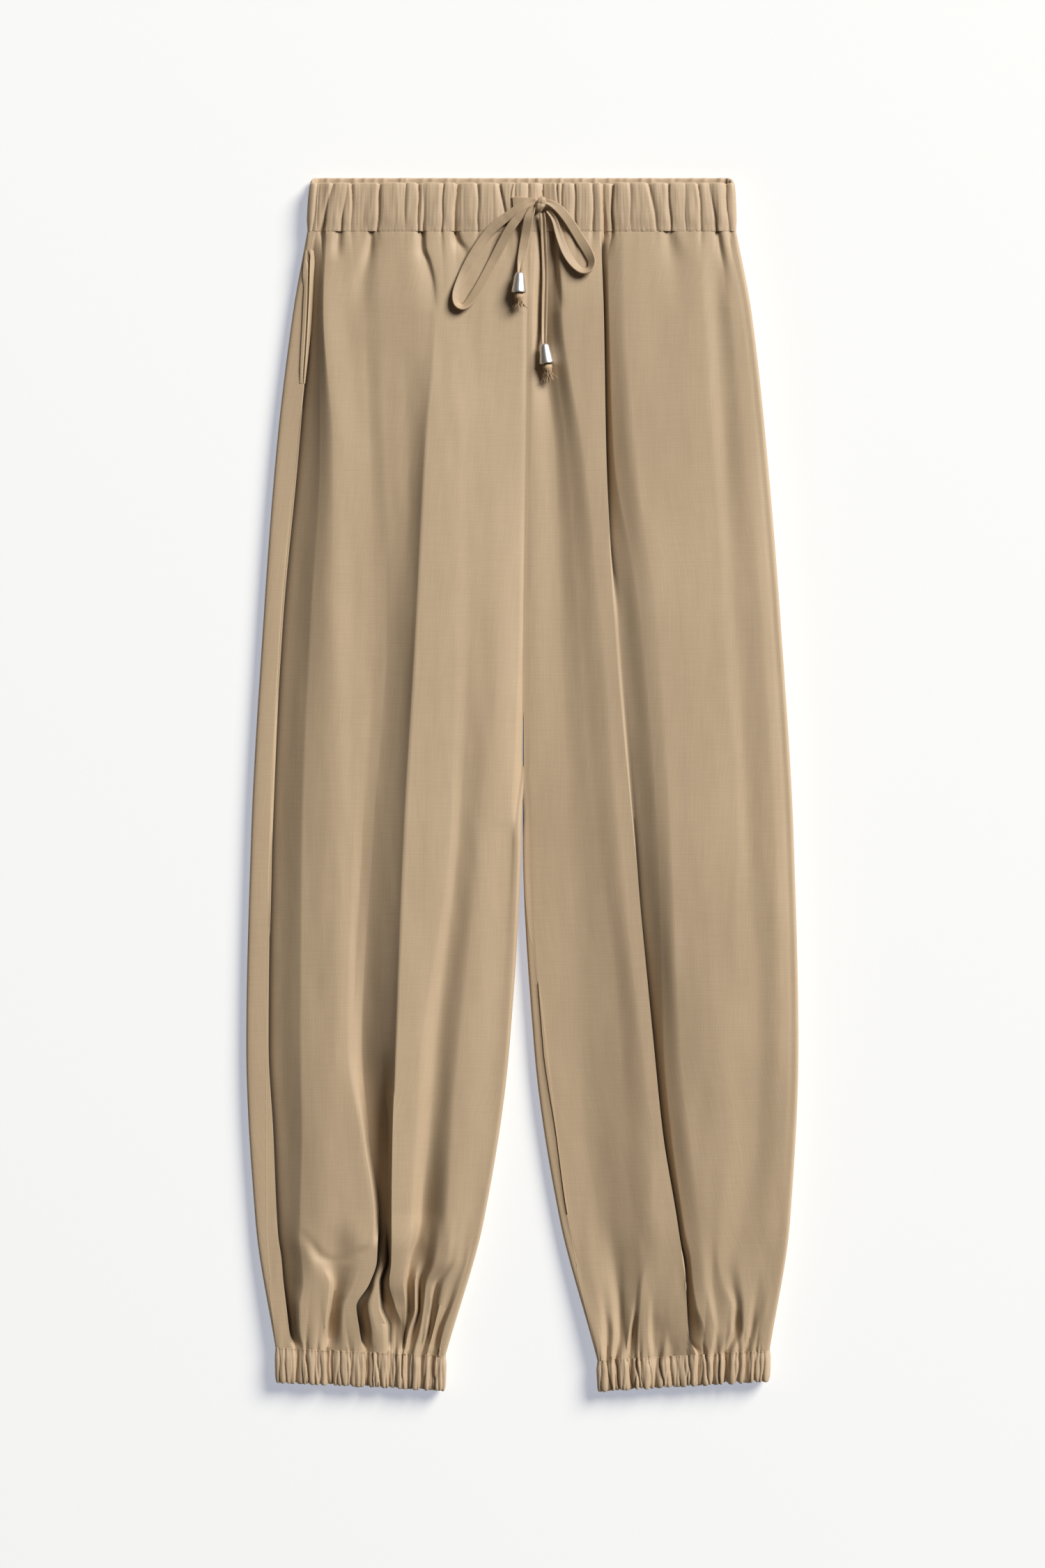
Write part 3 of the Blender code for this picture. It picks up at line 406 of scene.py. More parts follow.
RIGHT_OUTER = Edge((-177.4, -189.5, -203.3, -214.2, -224.0, -228.0, -220.5, -203.8),
                   (13.5, 10, 10, 10, 10, 10, 10, 14),
                   (-175.1, -177.4, -185.4, -198.1, -206.1, -211.3, -211.3, -201.5))
RIGHT_INNER = Edge((6.0, 4.9, 3.7, 1.4, -0.5, -10.1, -31.3, -63.0),
                   (14.5, 14.5, 14.5, 14, 10, 9, 9, 14),
                   (6, 4.9, 3.7, 1.4, -0.5, -10.1, -31.3, -63))
LEFT_INNER = Edge((6.0, 4.9, 3.7, 1.4, 0.4, 9.5, 30.8, 61.8),
                  (14.5, 14, 13.8, 13.5, 10, 9, 9, 14),
                  (6, 4.9, 3.7, 1.4, 1.1, 19.8, 37.7, 63.5))
LEFT_OUTER = Edge((176.8, 189.5, 202.1, 213.6, 224.0, 228.0, 221.1, 204.4),
                  (13.5, 10, 10, 10, 10, 10, 10, 14),
                  (176.8, 189.5, 202.1, 213.6, 224, 228, 221.1, 204.4))

# A cuff seam's slant: a place across and its drop at each end.
Slant = namedtuple("Slant", "x_a drop_a x_b drop_b")


def smooth(t):
    t = np.clip(t, 0.0, 1.0)
    return t * t * (3.0 - 2.0 * t)


def faded(drop, ends):
    """1 along the leg, and 0 at its ends: a drop near the waist and the length over which
    it comes in there, then the same near the cuff."""
    start, coming, end, going = ends
    return smooth((drop - start) / coming) * smooth((end - drop) / going)


def level_slope(before, after):
    """The slope where two runs meet, with none at a crest or a valley."""
    product = before * after
    total = before + after
    return np.where(product > 0, 2 * product / np.where(product > 0, total, 1.0), 0.0)


def cubic(t, a, b, leaving, arriving):
    """A cubic from a to b as t goes from 0 to 1, with its slope at both ends."""
    return (a * (2 * t**3 - 3 * t**2 + 1) + b * (3 * t**2 - 2 * t**3)
            + leaving * (t**3 - 2 * t**2 + t) + arriving * (t**3 - t**2))


def curve(stops, values, at):
    """A smooth curve without overshoot through values at stops, read at places."""
    stops = np.asarray(stops, float)
    values = np.asarray(values, float)
    spans = np.diff(stops)
    rises = np.diff(values) / spans
    slopes = np.empty(len(stops))
    slopes[0] = rises[0]
    slopes[-1] = rises[-1]
    slopes[1:-1] = level_slope(rises[:-1], rises[1:])
    at = np.clip(at, stops[0], stops[-1])
    i = np.clip(np.searchsorted(stops, at, side="right") - 1, 0, len(stops) - 2)
    t = (at - stops[i]) / spans[i]
    return cubic(t, values[i], values[i + 1], slopes[i] * spans[i], slopes[i + 1] * spans[i])


def along(values, drop):
    """Values given at the sections, the levels or the foot levels, read at a drop."""
    stops = {len(SECTIONS): SECTIONS, len(LEVELS): LEVELS, len(FOOT_LEVELS): FOOT_LEVELS}[len(values)]
    return curve(stops, values, drop)


class Half(namedtuple("Half", "name folds foot low_edge high_edge crown slant cuff_depth inner_is_high")):
    """The right or left half of the joggers, as the CAD has it."""

    def edges(self, drop):
        """Centres, radii and turns of the low and the high edge at drops."""
        closed = smooth((drop - CURL_FROM) / (CURL_TO - CURL_FROM))
        whole = np.ones_like(closed)
        low = along(self.low_edge.across, drop)
        high = along(self.high_edge.across, drop)
        if self.inner_is_high:
            high = high - HALF_GAP
            low_turn, high_turn = whole, closed
        else:
            low = low + HALF_GAP
            low_turn, high_turn = closed, whole
        low_turn = low_turn * math.pi / 2
        high_turn = high_turn * math.pi / 2
        low_r = along(self.low_edge.thick, drop) / 2
        high_r = along(self.high_edge.thick, drop) / 2
        crown = 2 * high_r + (along(self.crown, drop) - 2 * high_r) * high_turn / (math.pi / 2)
        return Edges(low + low_r * np.sin(low_turn), low_r, low_turn,
                     high - high_r * np.sin(high_turn), high_r, high_turn, crown)

    def seams(self, drop):
        """Path lengths of the seams at the low and the high edge."""
        e = self.edges(drop)
        low = along(self.low_edge.seam, drop)
        reach = np.clip((e.low_centre - low) / e.low_r, 0.0, 1.0)
        under = e.low_centre - e.low_r * np.minimum(np.arcsin(reach), e.low_turn)
        low = np.where(low >= e.low_centre, low, under)
        high = along(self.high_edge.seam, drop)
        reach = np.clip((high - e.high_centre) / e.high_r, 0.0, 1.0)
        under = e.high_centre + e.high_r * np.minimum(np.arcsin(reach), e.high_turn)
        high = np.where(high <= e.high_centre, high, under)
        return low, high

    def base(self, x, drop):
        """Height of the folds over a place: the long ones, then those above the cuff."""
        if np.max(drop) <= FOOT_FROM:
            return self.profile(self.folds, x, drop)
        return self.blended(drop, lambda folds: self.profile(folds, x, drop))

    def blended(self, drop, read):
        """What a reading of the long folds gives, then that of the folds above the cuff."""
        share = self.foot_share(drop)
        return read(self.folds) * (1.0 - share) + read(self.foot) * share

    def foot_share(self, drop):
        """How far the folds above the cuff have taken over from the long ones."""
        return smooth((drop - FOOT_FROM) / (FOOT_TO[self.name] - FOOT_FROM))

    def profile(self, folds, x, drop):
        """Height over a place of one set of folds."""
        e = self.edges(drop)
        places = [e.low_centre] + [along(f.across, drop) for f in folds] + [e.high_centre]
        for i in range(1, len(places) - 1):
            least = e.low_centre + LEAST_ROOM * i
            most = e.high_centre - LEAST_ROOM * (len(places) - 1 - i)
            places[i] = np.minimum(np.maximum(places[i], least), most)
        heights = [2 * e.low_r] + [along(f.height, drop) for f in folds] + [e.crown]
        spans = [np.maximum(b - a, LEAST_SPAN) for a, b in zip(places, places[1:])]
        rises = [(b - a) / span for a, b, span in zip(heights, heights[1:], spans)]
        into = [0.0 * rises[0]]
        out = [0.0 * rises[0]]
        for i, fold in enumerate(folds):
            level = level_slope(rises[i], rises[i + 1])
            crisp = fold.crisp
            if i + 1 < len(folds) and folds[i + 1].name in TUCKED:
                crisp = crisp * np.clip((heights[i + 1] - heights[i + 2]) / CRISP_FALL, 0.0, 1.0)
            if fold.name in TUCKED:
                crisp = crisp * np.clip((heights[i] - heights[i + 1]) / CRISP_FALL, 0.0, 1.0)
            into.append(level + crisp * (CRISP_SLOPE * rises[i] - level))
            out.append(level + crisp * (CRISP_SLOPE * rises[i + 1] - level))
        into.append(0.0 * rises[0])
        z = np.where(x <= places[0], heights[0], heights[-1])
        for i, span in enumerate(spans):
            t = np.clip((x - places[i]) / span, 0.0, 1.0)
            piece = cubic(t, heights[i], heights[i + 1], out[i] * span, into[i + 1] * span)
            z = np.where((x > places[i]) & (x <= places[i + 1]), piece, z)
        return z

    def slanted(self, x, drop):
        """A drop with the slant of the cuff seam let in."""
        s = self.slant
        seam = s.drop_a + (s.drop_b - s.drop_a) * (x - s.x_a) / (s.x_b - s.x_a)
        share = np.maximum(0.0, (drop - SLANT_FROM) / (CUFF_SEAM - SLANT_FROM))
        return drop + (seam - CUFF_SEAM) * share * share


Edges = namedtuple("Edges", "low_centre low_r low_turn high_centre high_r high_turn crown")
RIGHT = Half("right", RIGHT_FOLDS, RIGHT_FOOT, RIGHT_OUTER, RIGHT_INNER, RIGHT_CROWN,
             Slant(-203.8, 966.0, -63.5, 972.9), 29.3, True)
LEFT = Half("left", LEFT_FOLDS, LEFT_FOOT, LEFT_INNER, LEFT_OUTER, LEFT_CROWN,
            Slant(63.0, 976.9, 203.8, 968.3), 26.0, False)

# Gathers of the waistband's front, left to right: place across at its top edge and at
# its seam, depth at each, and half width.
Gather = namedtuple("Gather", "x_top x_seam deep_top deep_seam width")

WAIST_GATHERS = tuple(Gather(*row) for row in (
    (-170.5, -173.4, 0.8, 0.8, 1.5), (-158.4, -165.9, 1, 2.2, 1.6), (-146.3, -149.2, 0, 1.8, 1.6),
    (-142.3, -141.2, 1.6, 0.6, 1.2), (-118.7, -119.9, 1.8, 1.6, 1.4), (-97.5, -96.3, 0.8, 0.2, 1.2),
    (-87.1, -86, 2, 1, 1.4), (-82.5, -81.9, 0.3, 1.4, 1.4), (-65.3, -66.4, 1.2, 1, 1.3),
    (-54.9, -55.5, 2, 2.2, 1.5), (-37.7, -36.5, 1.3, 1, 1.3), (-18.1, -12.4, 1.6, 1.8, 1.5),
    (-6, -4.9, 0.6, 1.5, 1.3), (4.3, 4.3, 0.8, 0.8, 1.2), (17.5, 15.2, 0.8, 1.2, 1.3),
    (29, 30.8, 1.2, 0.6, 1.1), (32.5, 33.6, 1, 0.8, 1), (43.4, 44.6, 1.4, 1.4, 1.3),
    (58.9, 57.8, 1, 1.6, 1.3), (67, 67.6, 0.9, 1.8, 1.2), (75, 74.5, 2.2, 2.2, 1.6),
    (89.4, 89.4, 0.5, 0.4, 1.2), (106.1, 110.7, 1.6, 1, 1.5), (122.2, 122.8, 1.4, 1.4, 1.3),
    (135.4, 134.8, 0.4, 0.6, 1.2), (146.9, 147.5, 1.5, 1.2, 1.3), (156.7, 160.1, 0.3, 1.5, 1.5),
    (169.9, 170.5, 1.2, 1, 1.3),
))

CUFF_GATHERS = {
    "right": tuple(Gather(x + a, x, d, e, w) for x, a, d, e, w in (
        (-196, 0.4, 0.5, 0.6, 1.2), (-178.5, 1.2, 1.4, 1.6, 1.2), (-161.3, 0.6, 1.2, 2, 1.2),
        (-157.8, 0.3, 1, 1.2, 1), (-150.4, 1.1, 1.2, 0.6, 1.2), (-129.7, 0.8, 1.8, 2.2, 1.4),
        (-123.9, 1.6, 1, 0.8, 1), (-119.9, 2.6, 1.6, 1.4, 1.2), (-110.7, 0.9, 1.6, 2, 1.1),
        (-104.9, 0.2, 1.4, 1, 1), (-96.3, -1.1, 1, 2, 1.2), (-83.7, -0.7, 1.6, 1.8, 1.2),
        (-75.6, -0.6, 1, 1.4, 1.1), (-70.4, -0.9, 1.2, 1, 1), (-90.5, -0.8, 1, 0.8, 1),
        (-142.4, 0.9, 0.8, 1, 1.2), (-169, 0.5, 0.6, 1, 1.2),
    )),
    "left": tuple(Gather(x + a, x, d, e, w) for x, a, d, e, w in (
        (70, 2.6, 1.2, 1.2, 1.2), (76.8, 2.4, 1.6, 2, 1.3), (86.7, 4.2, 1.4, 1.2, 1.2),
        (92.9, 3.2, 2, 2.2, 1.3), (97, 1.6, 1, 1.4, 1), (103.8, 2.6, 1.4, 1, 1.2),
        (113, 2.8, 1.8, 1.6, 1.3), (122.2, 1.6, 1.4, 2, 1.2), (136.6, 1.8, 1.6, 1, 1.2),
        (149.8, 4, 1.4, 2.2, 1.3), (161.3, 1.2, 1.6, 1.2, 1.2), (167, 0.8, 1.8, 1.4, 1.2),
        (178.3, -1, 2.2, 2, 1.3), (183.7, -0.6, 1, 1.6, 1.1), (192.9, -2.2, 1.4, 1.2, 1.2),
    )),
}


def noise_over(a, b, seed):
    """Smooth noise over places a across and b down."""
    a, b = np.broadcast_arrays(a, b)
    values = [noise.noise(Vector((p, q, seed))) for p, q in zip(a.ravel().tolist(), b.ravel().tolist())]
    return np.array(values).reshape(a.shape)


def groove(distance, width, skew):
    """A gather's profile: a soft dent, steeper on one side, with a crisp line down its middle."""
    away = np.abs(distance) / (width * (1.0 + skew * np.sign(distance)))
    return 0.4 * np.exp(-(away / 1.5) ** 2) + 0.6 * np.exp(-away * 1.9)


def skew_of(i):
    """Which side of a gather is the steeper one, and by how much."""
    return 0.5 * math.sin(i * 2.1 + 0.6)


# Puckers: how high, how wide and how long.
PUCKER = 0.8
PUCKER_WIDE = 1.7
PUCKER_LONG = 16.0


def puckers(x, away, seed, reach):
    """Fine pleats that the elastic draws up on both sides of a seam."""
    near = np.broadcast_to(away, np.broadcast(x, away).shape)
    values = np.zeros(near.shape)
    close = near < 4 * reach
    flat = np.broadcast_to(x, near.shape)[close]
    values[close] = noise_over(flat / PUCKER_WIDE, near[close] / PUCKER_LONG, seed)
    return PUCKER * values * np.exp(-near / reach)


def gathers_at_seam(rows, x, away, fade):
    """Depth of the gathers on a panel; away from the seam they widen and fade."""
    deep = np.zeros(np.broadcast(x, away).shape)
    for i, row in enumerate(rows):
        reach = fade * (0.6 + 0.8 * ((i * 0.618) % 1.0))
        width = row.width * (1.0 + away / GATHER_SPREAD)
        drift = away * 0.12 * math.sin(i * 2.4)
        deep = deep + (GATHER_DEPTH * row.deep_seam * groove(x - row.x_seam - drift, width, skew_of(i))
                       * np.exp(-away / reach))
    return deep


# Creases placed on each front: how crisp the line down the middle is, and rows of place across, drop, rise, and half
# width to the left and to the right.
Crease = namedtuple("Crease", "name crisp rows")

RIGHT_CREASES = (
    Crease("waist slot", 0.5, ((-82.2, 45, -2.6, 3.5, 1.3), (-81.5, 60, -2.6, 6, 1.6),
           (-77.9, 70, -2.2, 8, 1.8), (-73.3, 89, -1.4, 9, 2), (-71, 113, 0, 10, 2))),
    Crease("waist swell", 0, ((-123.9, 45, -2.4, 1.8, 2), (-125.1, 57, -2.6, 3, 3),
           (-127.9, 73, -1.6, 5, 5), (-131.4, 90, -1, 7, 7), (-133.1, 125, 0, 8, 8))),
    Crease("waist dent", 0.2, ((-55.5, 45, -2, 1.6, 2), (-53.2, 53, -1.8, 4, 2.5),
           (-46.9, 63, -0.8, 6, 4), (-41.1, 75, 0, 6, 5))),
    Crease("side dent", 0, ((-150.9, 45, -1.8, 2.5, 2), (-152.1, 55, -1.6, 3.5, 3),
           (-152.7, 70, 0, 5, 4))),
    Crease("dent left", 0, ((-180.3, 869, 0, 5, 5), (-173.4, 881, -0.9, 5, 5),
           (-165.3, 891, -1.3, 6, 5), (-158.4, 897, 0, 6, 6))),
    Crease("dent right", 0, ((-127.4, 880, 0, 5, 5), (-135.4, 888, -0.9, 5, 5),
           (-142.3, 893, -0.8, 5, 5), (-146.9, 896, 0, 6, 6))),
    Crease("small crease", 0.3, ((-146.9, 922, 0, 2, 2), (-152.7, 929, -0.9, 2.2, 2.2),
           (-158.4, 936, 0, 2, 2))),
)

LEFT_CREASES = (
    Crease("channel slot", 0.3, ((26.7, 45, -3.5, 3, 1.6), (27.3, 70, -3, 6, 1.6), (29, 90, -2, 7, 2),
           (31.3, 113, 0, 8, 3))),
    Crease("yoke dent", 0.2, ((119.3, 45, -2, 2, 2.4), (121.6, 56, -1.8, 4, 6), (125.6, 79, -1, 8, 12),
           (129.7, 131, 0, 10, 14))),
    Crease("side dent", 0.3, ((161.3, 45, -2, 1.5, 2.6), (163, 58, -1.9, 3, 3), (166.5, 79, -1, 5, 4),
           (168.8, 108, 0, 7, 6))),
    Crease("kink", 0.2, ((9.5, 60, 0, 3, 3), (3.7, 68, -0.8, 4, 3), (0.3, 76, 0, 4, 4))),
)


# How much deeper the creases are made than their rows say.
CREASE_DEPTH = 1.3


def crease_heights(creases, x, drop):
    """What the creases add to the height."""
    rise = np.zeros(np.broadcast(x, drop).shape)
    for crease in creases:
        rows = np.array(crease.rows, float)
        stops = rows[:, 1]
        inside = (drop >= stops[0] - 1.0) & (drop <= stops[-1])
        middle, deep, left, right = (curve(stops, rows[:, i], drop) for i in (0, 2, 3, 4))
        away = np.where(x < middle, (middle - x) / left, (x - middle) / right)
        profile = (1.0 - crease.crisp) * np.exp(-away * away) + crease.crisp * np.exp(-away * 1.3)
        rise = rise + np.where(inside, deep * profile * CREASE_DEPTH, 0.0)
    return rise


# Next to the seams: how deep the gathers are, how they fade and spread, the dip along the
# seam, how far its puckers reach, and how low the cloth may come.
GATHER_DEPTH = 1.35
SEAM_DIP = 0.12
SEAM_DIP_REACH = 1.4
WAIST_PUCKER_REACH = 2.5
CUFF_PUCKER_REACH = 5.0
PUCKER_SEEDS = {"waist": 21.3, "right": 33.7, "left": 35.1}
WAIST_FADE = 13.0
CUFF_FADE = 20.0
GATHER_SPREAD = 12.0
LOWEST = 2.4
# The cloth's unevenness: how high, wide and tall each kind of wave is, and its own seed.
UNEVEN = ((0.5, 26.0, 110.0, 0.0), (0.16, 9.0, 36.0, 5.0))
UNEVEN_SEEDS = {"right": 3.1, "left": 8.7}


def front_detail(half, x, drop):
    """Creases, gathers and unevenness on a front, as heights to add."""
    creases = RIGHT_CREASES if half is RIGHT else LEFT_CREASES
    rise = crease_heights(creases, x, drop)
    below_waist = np.maximum(drop - WAIST_SEAM, 0.0)
    above_cuff = np.maximum(CUFF_SEAM - drop, 0.0)
    rise = rise - gathers_at_seam(WAIST_GATHERS, x, below_waist, WAIST_FADE)
    rise = rise - gathers_at_seam(CUFF_GATHERS[half.name], x, above_cuff, CUFF_FADE)
    at_seams = np.exp(-below_waist / SEAM_DIP_REACH) + np.exp(-above_cuff / SEAM_DIP_REACH)
    rise = rise - SEAM_DIP * at_seams
    rise = rise + 0.4 * puckers(x, below_waist, PUCKER_SEEDS["waist"], WAIST_PUCKER_REACH)
    rise = rise + puckers(x, above_cuff, PUCKER_SEEDS[half.name], CUFF_PUCKER_REACH)
    seed = UNEVEN_SEEDS[half.name]
    uneven = sum(high * noise_over(x / wide, drop / tall, seed + more) for high, wide, tall, more in UNEVEN)
    return rise + uneven * smooth(below_waist / 14.0) * smooth(above_cuff / 12.0)


def metres(x, drop, z):
    return np.stack([x * MM, (LENGTH / 2 - drop) * MM, z * MM], axis=-1)


class Finish:
    """The node tree of one material, written as Python expressions."""

    def __init__(self, name):
        self.material = bpy.data.materials.new(name)
        self.material.use_nodes = True
        self.tree = self.material.node_tree
        self.tree.nodes.clear()

    def node(self, kind, settings=None, inputs=None):
        """A node with its settings made first, then its sockets' values or links."""
        return add_node(self.tree, kind, settings, inputs)

    def mix(self, share, first, second):
        return self.node("ShaderNodeMix", {"data_type": "RGBA"}, {0: share, 6: first, 7: second})

    def bump(self, strength, distance, height):
        return self.node("ShaderNodeBump", None,
                         {"Strength": strength, "Distance": distance, "Height": height})

    def spots(self, scale, detail):
        place = self.node("ShaderNodeTexCoord").out("Object")
        return self.node("ShaderNodeTexNoise", None, {"Vector": place, "Scale": scale, "Detail": detail})

    def surface(self, inputs):
        shader = self.node("ShaderNodeBsdfPrincipled", None, inputs)
        self.node("ShaderNodeOutputMaterial", None, {"Surface": shader})
        return self.material


class Value:
    """A socket that sums and products work on, by adding Math nodes."""

    def __init__(self, tree, socket):
        self.tree = tree
        self.socket = socket

    def out(self, name):
        """Another output of the same node."""
        return Value(self.tree, self.socket.node.outputs[name])

    def math(self, operation, *others):
        values = dict(enumerate((self,) + others))
        return add_node(self.tree, "ShaderNodeMath", {"operation": operation}, values)

    def __add__(self, other):
        return self.math("ADD", other)

    def __radd__(self, other):
        return self.math("ADD", other)

    def __sub__(self, other):
        return self.math("SUBTRACT", other)

    def __rsub__(self, other):
        return (self * -1.0).math("ADD", other)

    def __mul__(self, other):
        return self.math("MULTIPLY", other)

    def __rmul__(self, other):
        return self.math("MULTIPLY", other)

    def clamp(self):
        return add_node(self.tree, "ShaderNodeClamp", None, {"Value": self})


def add_node(tree, kind, settings=None, inputs=None):
    made = tree.nodes.new(kind)
    for name, value in (settings or {}).items():
        setattr(made, name, value)
    for key, value in (inputs or {}).items():
        socket = made.inputs[key]
        if isinstance(value, Value):
            tree.links.new(value.socket, socket)
        else:
            socket.default_value = value
    return Value(tree, next((s for s in made.outputs if s.enabled), None)) if made.outputs else None


# The painted shade down in the narrow slots, a near black that stands in for the shade on their floors, and twice the
# cloth's threads for each metre.
SLOT_SHADE_COLOUR = (0.030, 0.019, 0.010, 1.0)
WARP_THREADS = 2200.0
WEFT_THREADS = 1900.0


def cloth_finish(name, colour, deep):
    """Satin-faced woven cloth: fine threads, slubs along and across, soft mottling, and painted shade down in the
    narrow slots.
    """
    f = Finish(name)
    cut = f.node("ShaderNodeUVMap", {"uv_map": "cut"})
    u = f.node("ShaderNodeSeparateXYZ", None, {"Vector": cut})
    v = u.out("Y")

    def streaks(across, down, detail=2.0):
        place = f.node("ShaderNodeCombineXYZ", None, {"X": u * across, "Y": v * down})
        return f.node("ShaderNodeTexNoise", {"noise_dimensions": "2D"},
                      {"Vector": place, "Scale": 1.0, "Detail": detail, "Roughness": 0.55})

    warp = streaks(900.0, 28.0)
    weft = streaks(40.0, 800.0)
    mottle = streaks(22.0, 9.0, 3.0)
    shade = warp * 0.42 + weft * 0.26 + mottle * 0.32
    mix = f.mix(((shade - 0.38) * 3.6).clamp(), deep, colour)
    # Painted shade: in the narrow slots the cloth's colour is mixed towards near black, standing in for the shade on
    # their floors.
    sunk = f.node("ShaderNodeAttribute", {"attribute_type": "GEOMETRY", "attribute_name": "sunk"}).out("Fac")
    base = f.mix(sunk, mix, SLOT_SHADE_COLOUR)
    threads = ((u * WARP_THREADS * math.pi).math("SINE") * 0.5
               + (v * WEFT_THREADS * math.pi).math("SINE") * 0.5)
    height = threads * 0.3 + warp * 0.8 + weft * 0.6
    return f.surface({"Base Color": base, "Roughness": 0.56 + shade * 0.12,
                      "Normal": f.bump(0.35, 0.00012, height),
                      "Sheen Weight": 0.22, "Sheen Roughness": 0.45,
                      "Sheen Tint": (1.0, 0.93, 0.82, 1.0)})


def thread_finish(name, colour, deep):
    f = Finish(name)
    spots = f.spots(900.0, 2.0)
    mix = f.mix(((spots - 0.35) * 3.0).clamp(), deep, colour)
    return f.surface({"Base Color": mix, "Roughness": 0.7, "Normal": f.bump(0.4, 0.0001, spots),
                      "Sheen Weight": 0.2})


def metal_finish(name, colour):
    """White metal with a satin face, faint brushing and a few dull patches."""
    f = Finish(name)
    return f.surface({"Base Color": colour, "Roughness": 0.36 + f.spots(160.0, 3.0) * 0.14,
                      "Normal": f.bump(0.12, 0.00008, f.spots(1500.0, 1.0)), "Metallic": 1.0})


CLOTH = cloth_finish("laid_cloth", (0.50, 0.372, 0.238, 1.0), (0.455, 0.334, 0.210, 1.0))
CASING_CLOTH = cloth_finish("casing_cloth", (0.515, 0.382, 0.252, 1.0), (0.465, 0.342, 0.219, 1.0))
TAPE_CLOTH = cloth_finish("drawstring_tape", (0.46, 0.338, 0.215, 1.0), (0.40, 0.288, 0.178, 1.0))
SEAM_THREAD = thread_finish("seam_thread", (0.36, 0.255, 0.15, 1.0), (0.27, 0.185, 0.10, 1.0))
BARTACK_THREAD = thread_finish("bartack_thread", (0.33, 0.23, 0.095, 1.0), (0.24, 0.16, 0.06, 1.0))
YARN = thread_finish("frayed_yarn", (0.54, 0.39, 0.23, 1.0), (0.40, 0.27, 0.15, 1.0))
METAL = metal_finish("satin_metal", (0.88, 0.88, 0.88, 1.0))


def add_mesh(name, points, faces, uvs, material, sharp=70.0):
    """A smooth-shaded mesh; uvs gives each corner of each face its place on the cut."""
    mesh = bpy.data.meshes.new(name)
    mesh.from_pydata(points, [], faces)
    layer = mesh.uv_layers.new(name="cut")
    layer.data.foreach_set("uv", np.asarray(uvs, np.float32).ravel())
    mesh.update()
    mesh.shade_smooth()
    mesh.set_sharp_from_angle(angle=math.radians(sharp))
    mesh.materials.append(material)
    made = bpy.data.objects.new(name, mesh)
    bpy.context.scene.collection.objects.link(made)
    return made


def grid_normals(grid):
    """Unit normals of a grid of points, rows down the joggers and columns across."""
    normals = np.cross(np.gradient(grid, axis=0), np.gradient(grid, axis=1))
    return normals / np.maximum(np.linalg.norm(normals, axis=-1, keepdims=True), 1e-12)


def shell(name, outer, inner, cut):
    """A closed thin wall between two grids of points; cut holds each point's place on the cloth."""
    rows, columns = outer.shape[:2]
    points = np.concatenate([outer.reshape(-1, 3), inner.reshape(-1, 3)]).tolist()
    numbers = np.arange(rows * columns).reshape(rows, columns)
    a = numbers[:-1, :-1].ravel()
    b = numbers[1:, :-1].ravel()
    c = numbers[1:, 1:].ravel()
    d = numbers[:-1, 1:].ravel()
    offset = rows * columns
    quads = [np.stack([a, b, c, d], axis=1), np.stack([d, c, b, a], axis=1) + offset]
    for edge, flip in ((numbers[0], False), (numbers[-1], True),
                       (numbers[:, 0], True), (numbers[:, -1], False)):
        p = edge[:-1]
        q = edge[1:]
        rim = np.stack([p, q, q + offset, p + offset], axis=1)
        quads.append(rim[:, ::-1] if flip else rim)
    faces = np.concatenate(quads)
    places = np.concatenate([cut.reshape(-1, 2)] * 2)
    return add_mesh(name, points, faces.tolist(), places[faces.ravel()], CLOTH)


def arc_lengths(x, z):
    """Distance along each row of a grid."""
    steps = np.hypot(np.diff(x, axis=1), np.diff(z, axis=1))
    return np.concatenate([np.zeros((len(x), 1)), np.cumsum(steps, axis=1)], axis=1)


# Rows of points down a front: stretches from drop to drop, with a step for each.
FRONT_STRETCHES = ((45.65, 1.2), (60, 2.2), (120, 6.0), (470, 4.0), (600, 6.0), (830, 2.6),
                    (925, 1.4), (967.85, 0))
BACK_STRETCHES = ((45.65, 3.0), (120, 8.0), (460, 4.0), (600, 7.0), (900, 4.0), (967.85, 0))


def row_drops(stretches):
    drops = []
    for (start, step), (end, _) in zip(stretches, stretches[1:]):
        count = max(1, round((end - start) / step))
        drops += [start + (end - start) * i / count for i in range(count)]
    return np.array(drops + [stretches[-1][0]])


# The cloth's own thickness, and how far from a seam its creases ease off.
CLOTH_WALL = 0.9
EDGE_EASE = 5.0


def over(half, q, drop, rise=0.0):
    """Points at path lengths q over the top and round the edges, as x and z."""
    e = half.edges(drop)
    low_turn = np.clip((e.low_centre - q) / e.low_r, 0.0, math.pi / 2)
    high_turn = np.clip((q - e.high_centre) / e.high_r, 0.0, math.pi / 2)
    wide = np.sin(high_turn) ** EDGE_BEND
    tall = np.cos(high_turn) ** EDGE_BEND
    low_x = e.low_centre - (e.low_r + rise) * np.sin(low_turn) ** EDGE_BEND
    low_z = e.low_r + (e.low_r + rise) * np.cos(low_turn) ** EDGE_BEND
    high_x = e.high_centre + e.high_r * wide
    high_z = e.high_r + (e.crown - e.high_r + rise) * tall
    x = np.where(low_turn > 0, low_x, np.where(high_turn > 0, high_x, q))
    top_z = np.maximum(half.base(q, drop) + rise, LOWEST)
    z = np.where(low_turn > 0, low_z, np.where(high_turn > 0, high_z, top_z))
    return x, z


# How far a tucked valley is pulled: a share of its fall up to a most, and its reach before
# it. Its ends, like the others below, are for faded().
TUCK_SHARE = 0.45
TUCK_MOST = 3.4
TUCK_REACH = 1.7
TUCK_ENDS = (47.0, 9.0, 966.0, 8.0)
# How far a leaning crest takes its sides with it.
LEAN_REACH = 3.5
LEAN_ENDS = (60.0, 60.0, 940.0, 60.0)


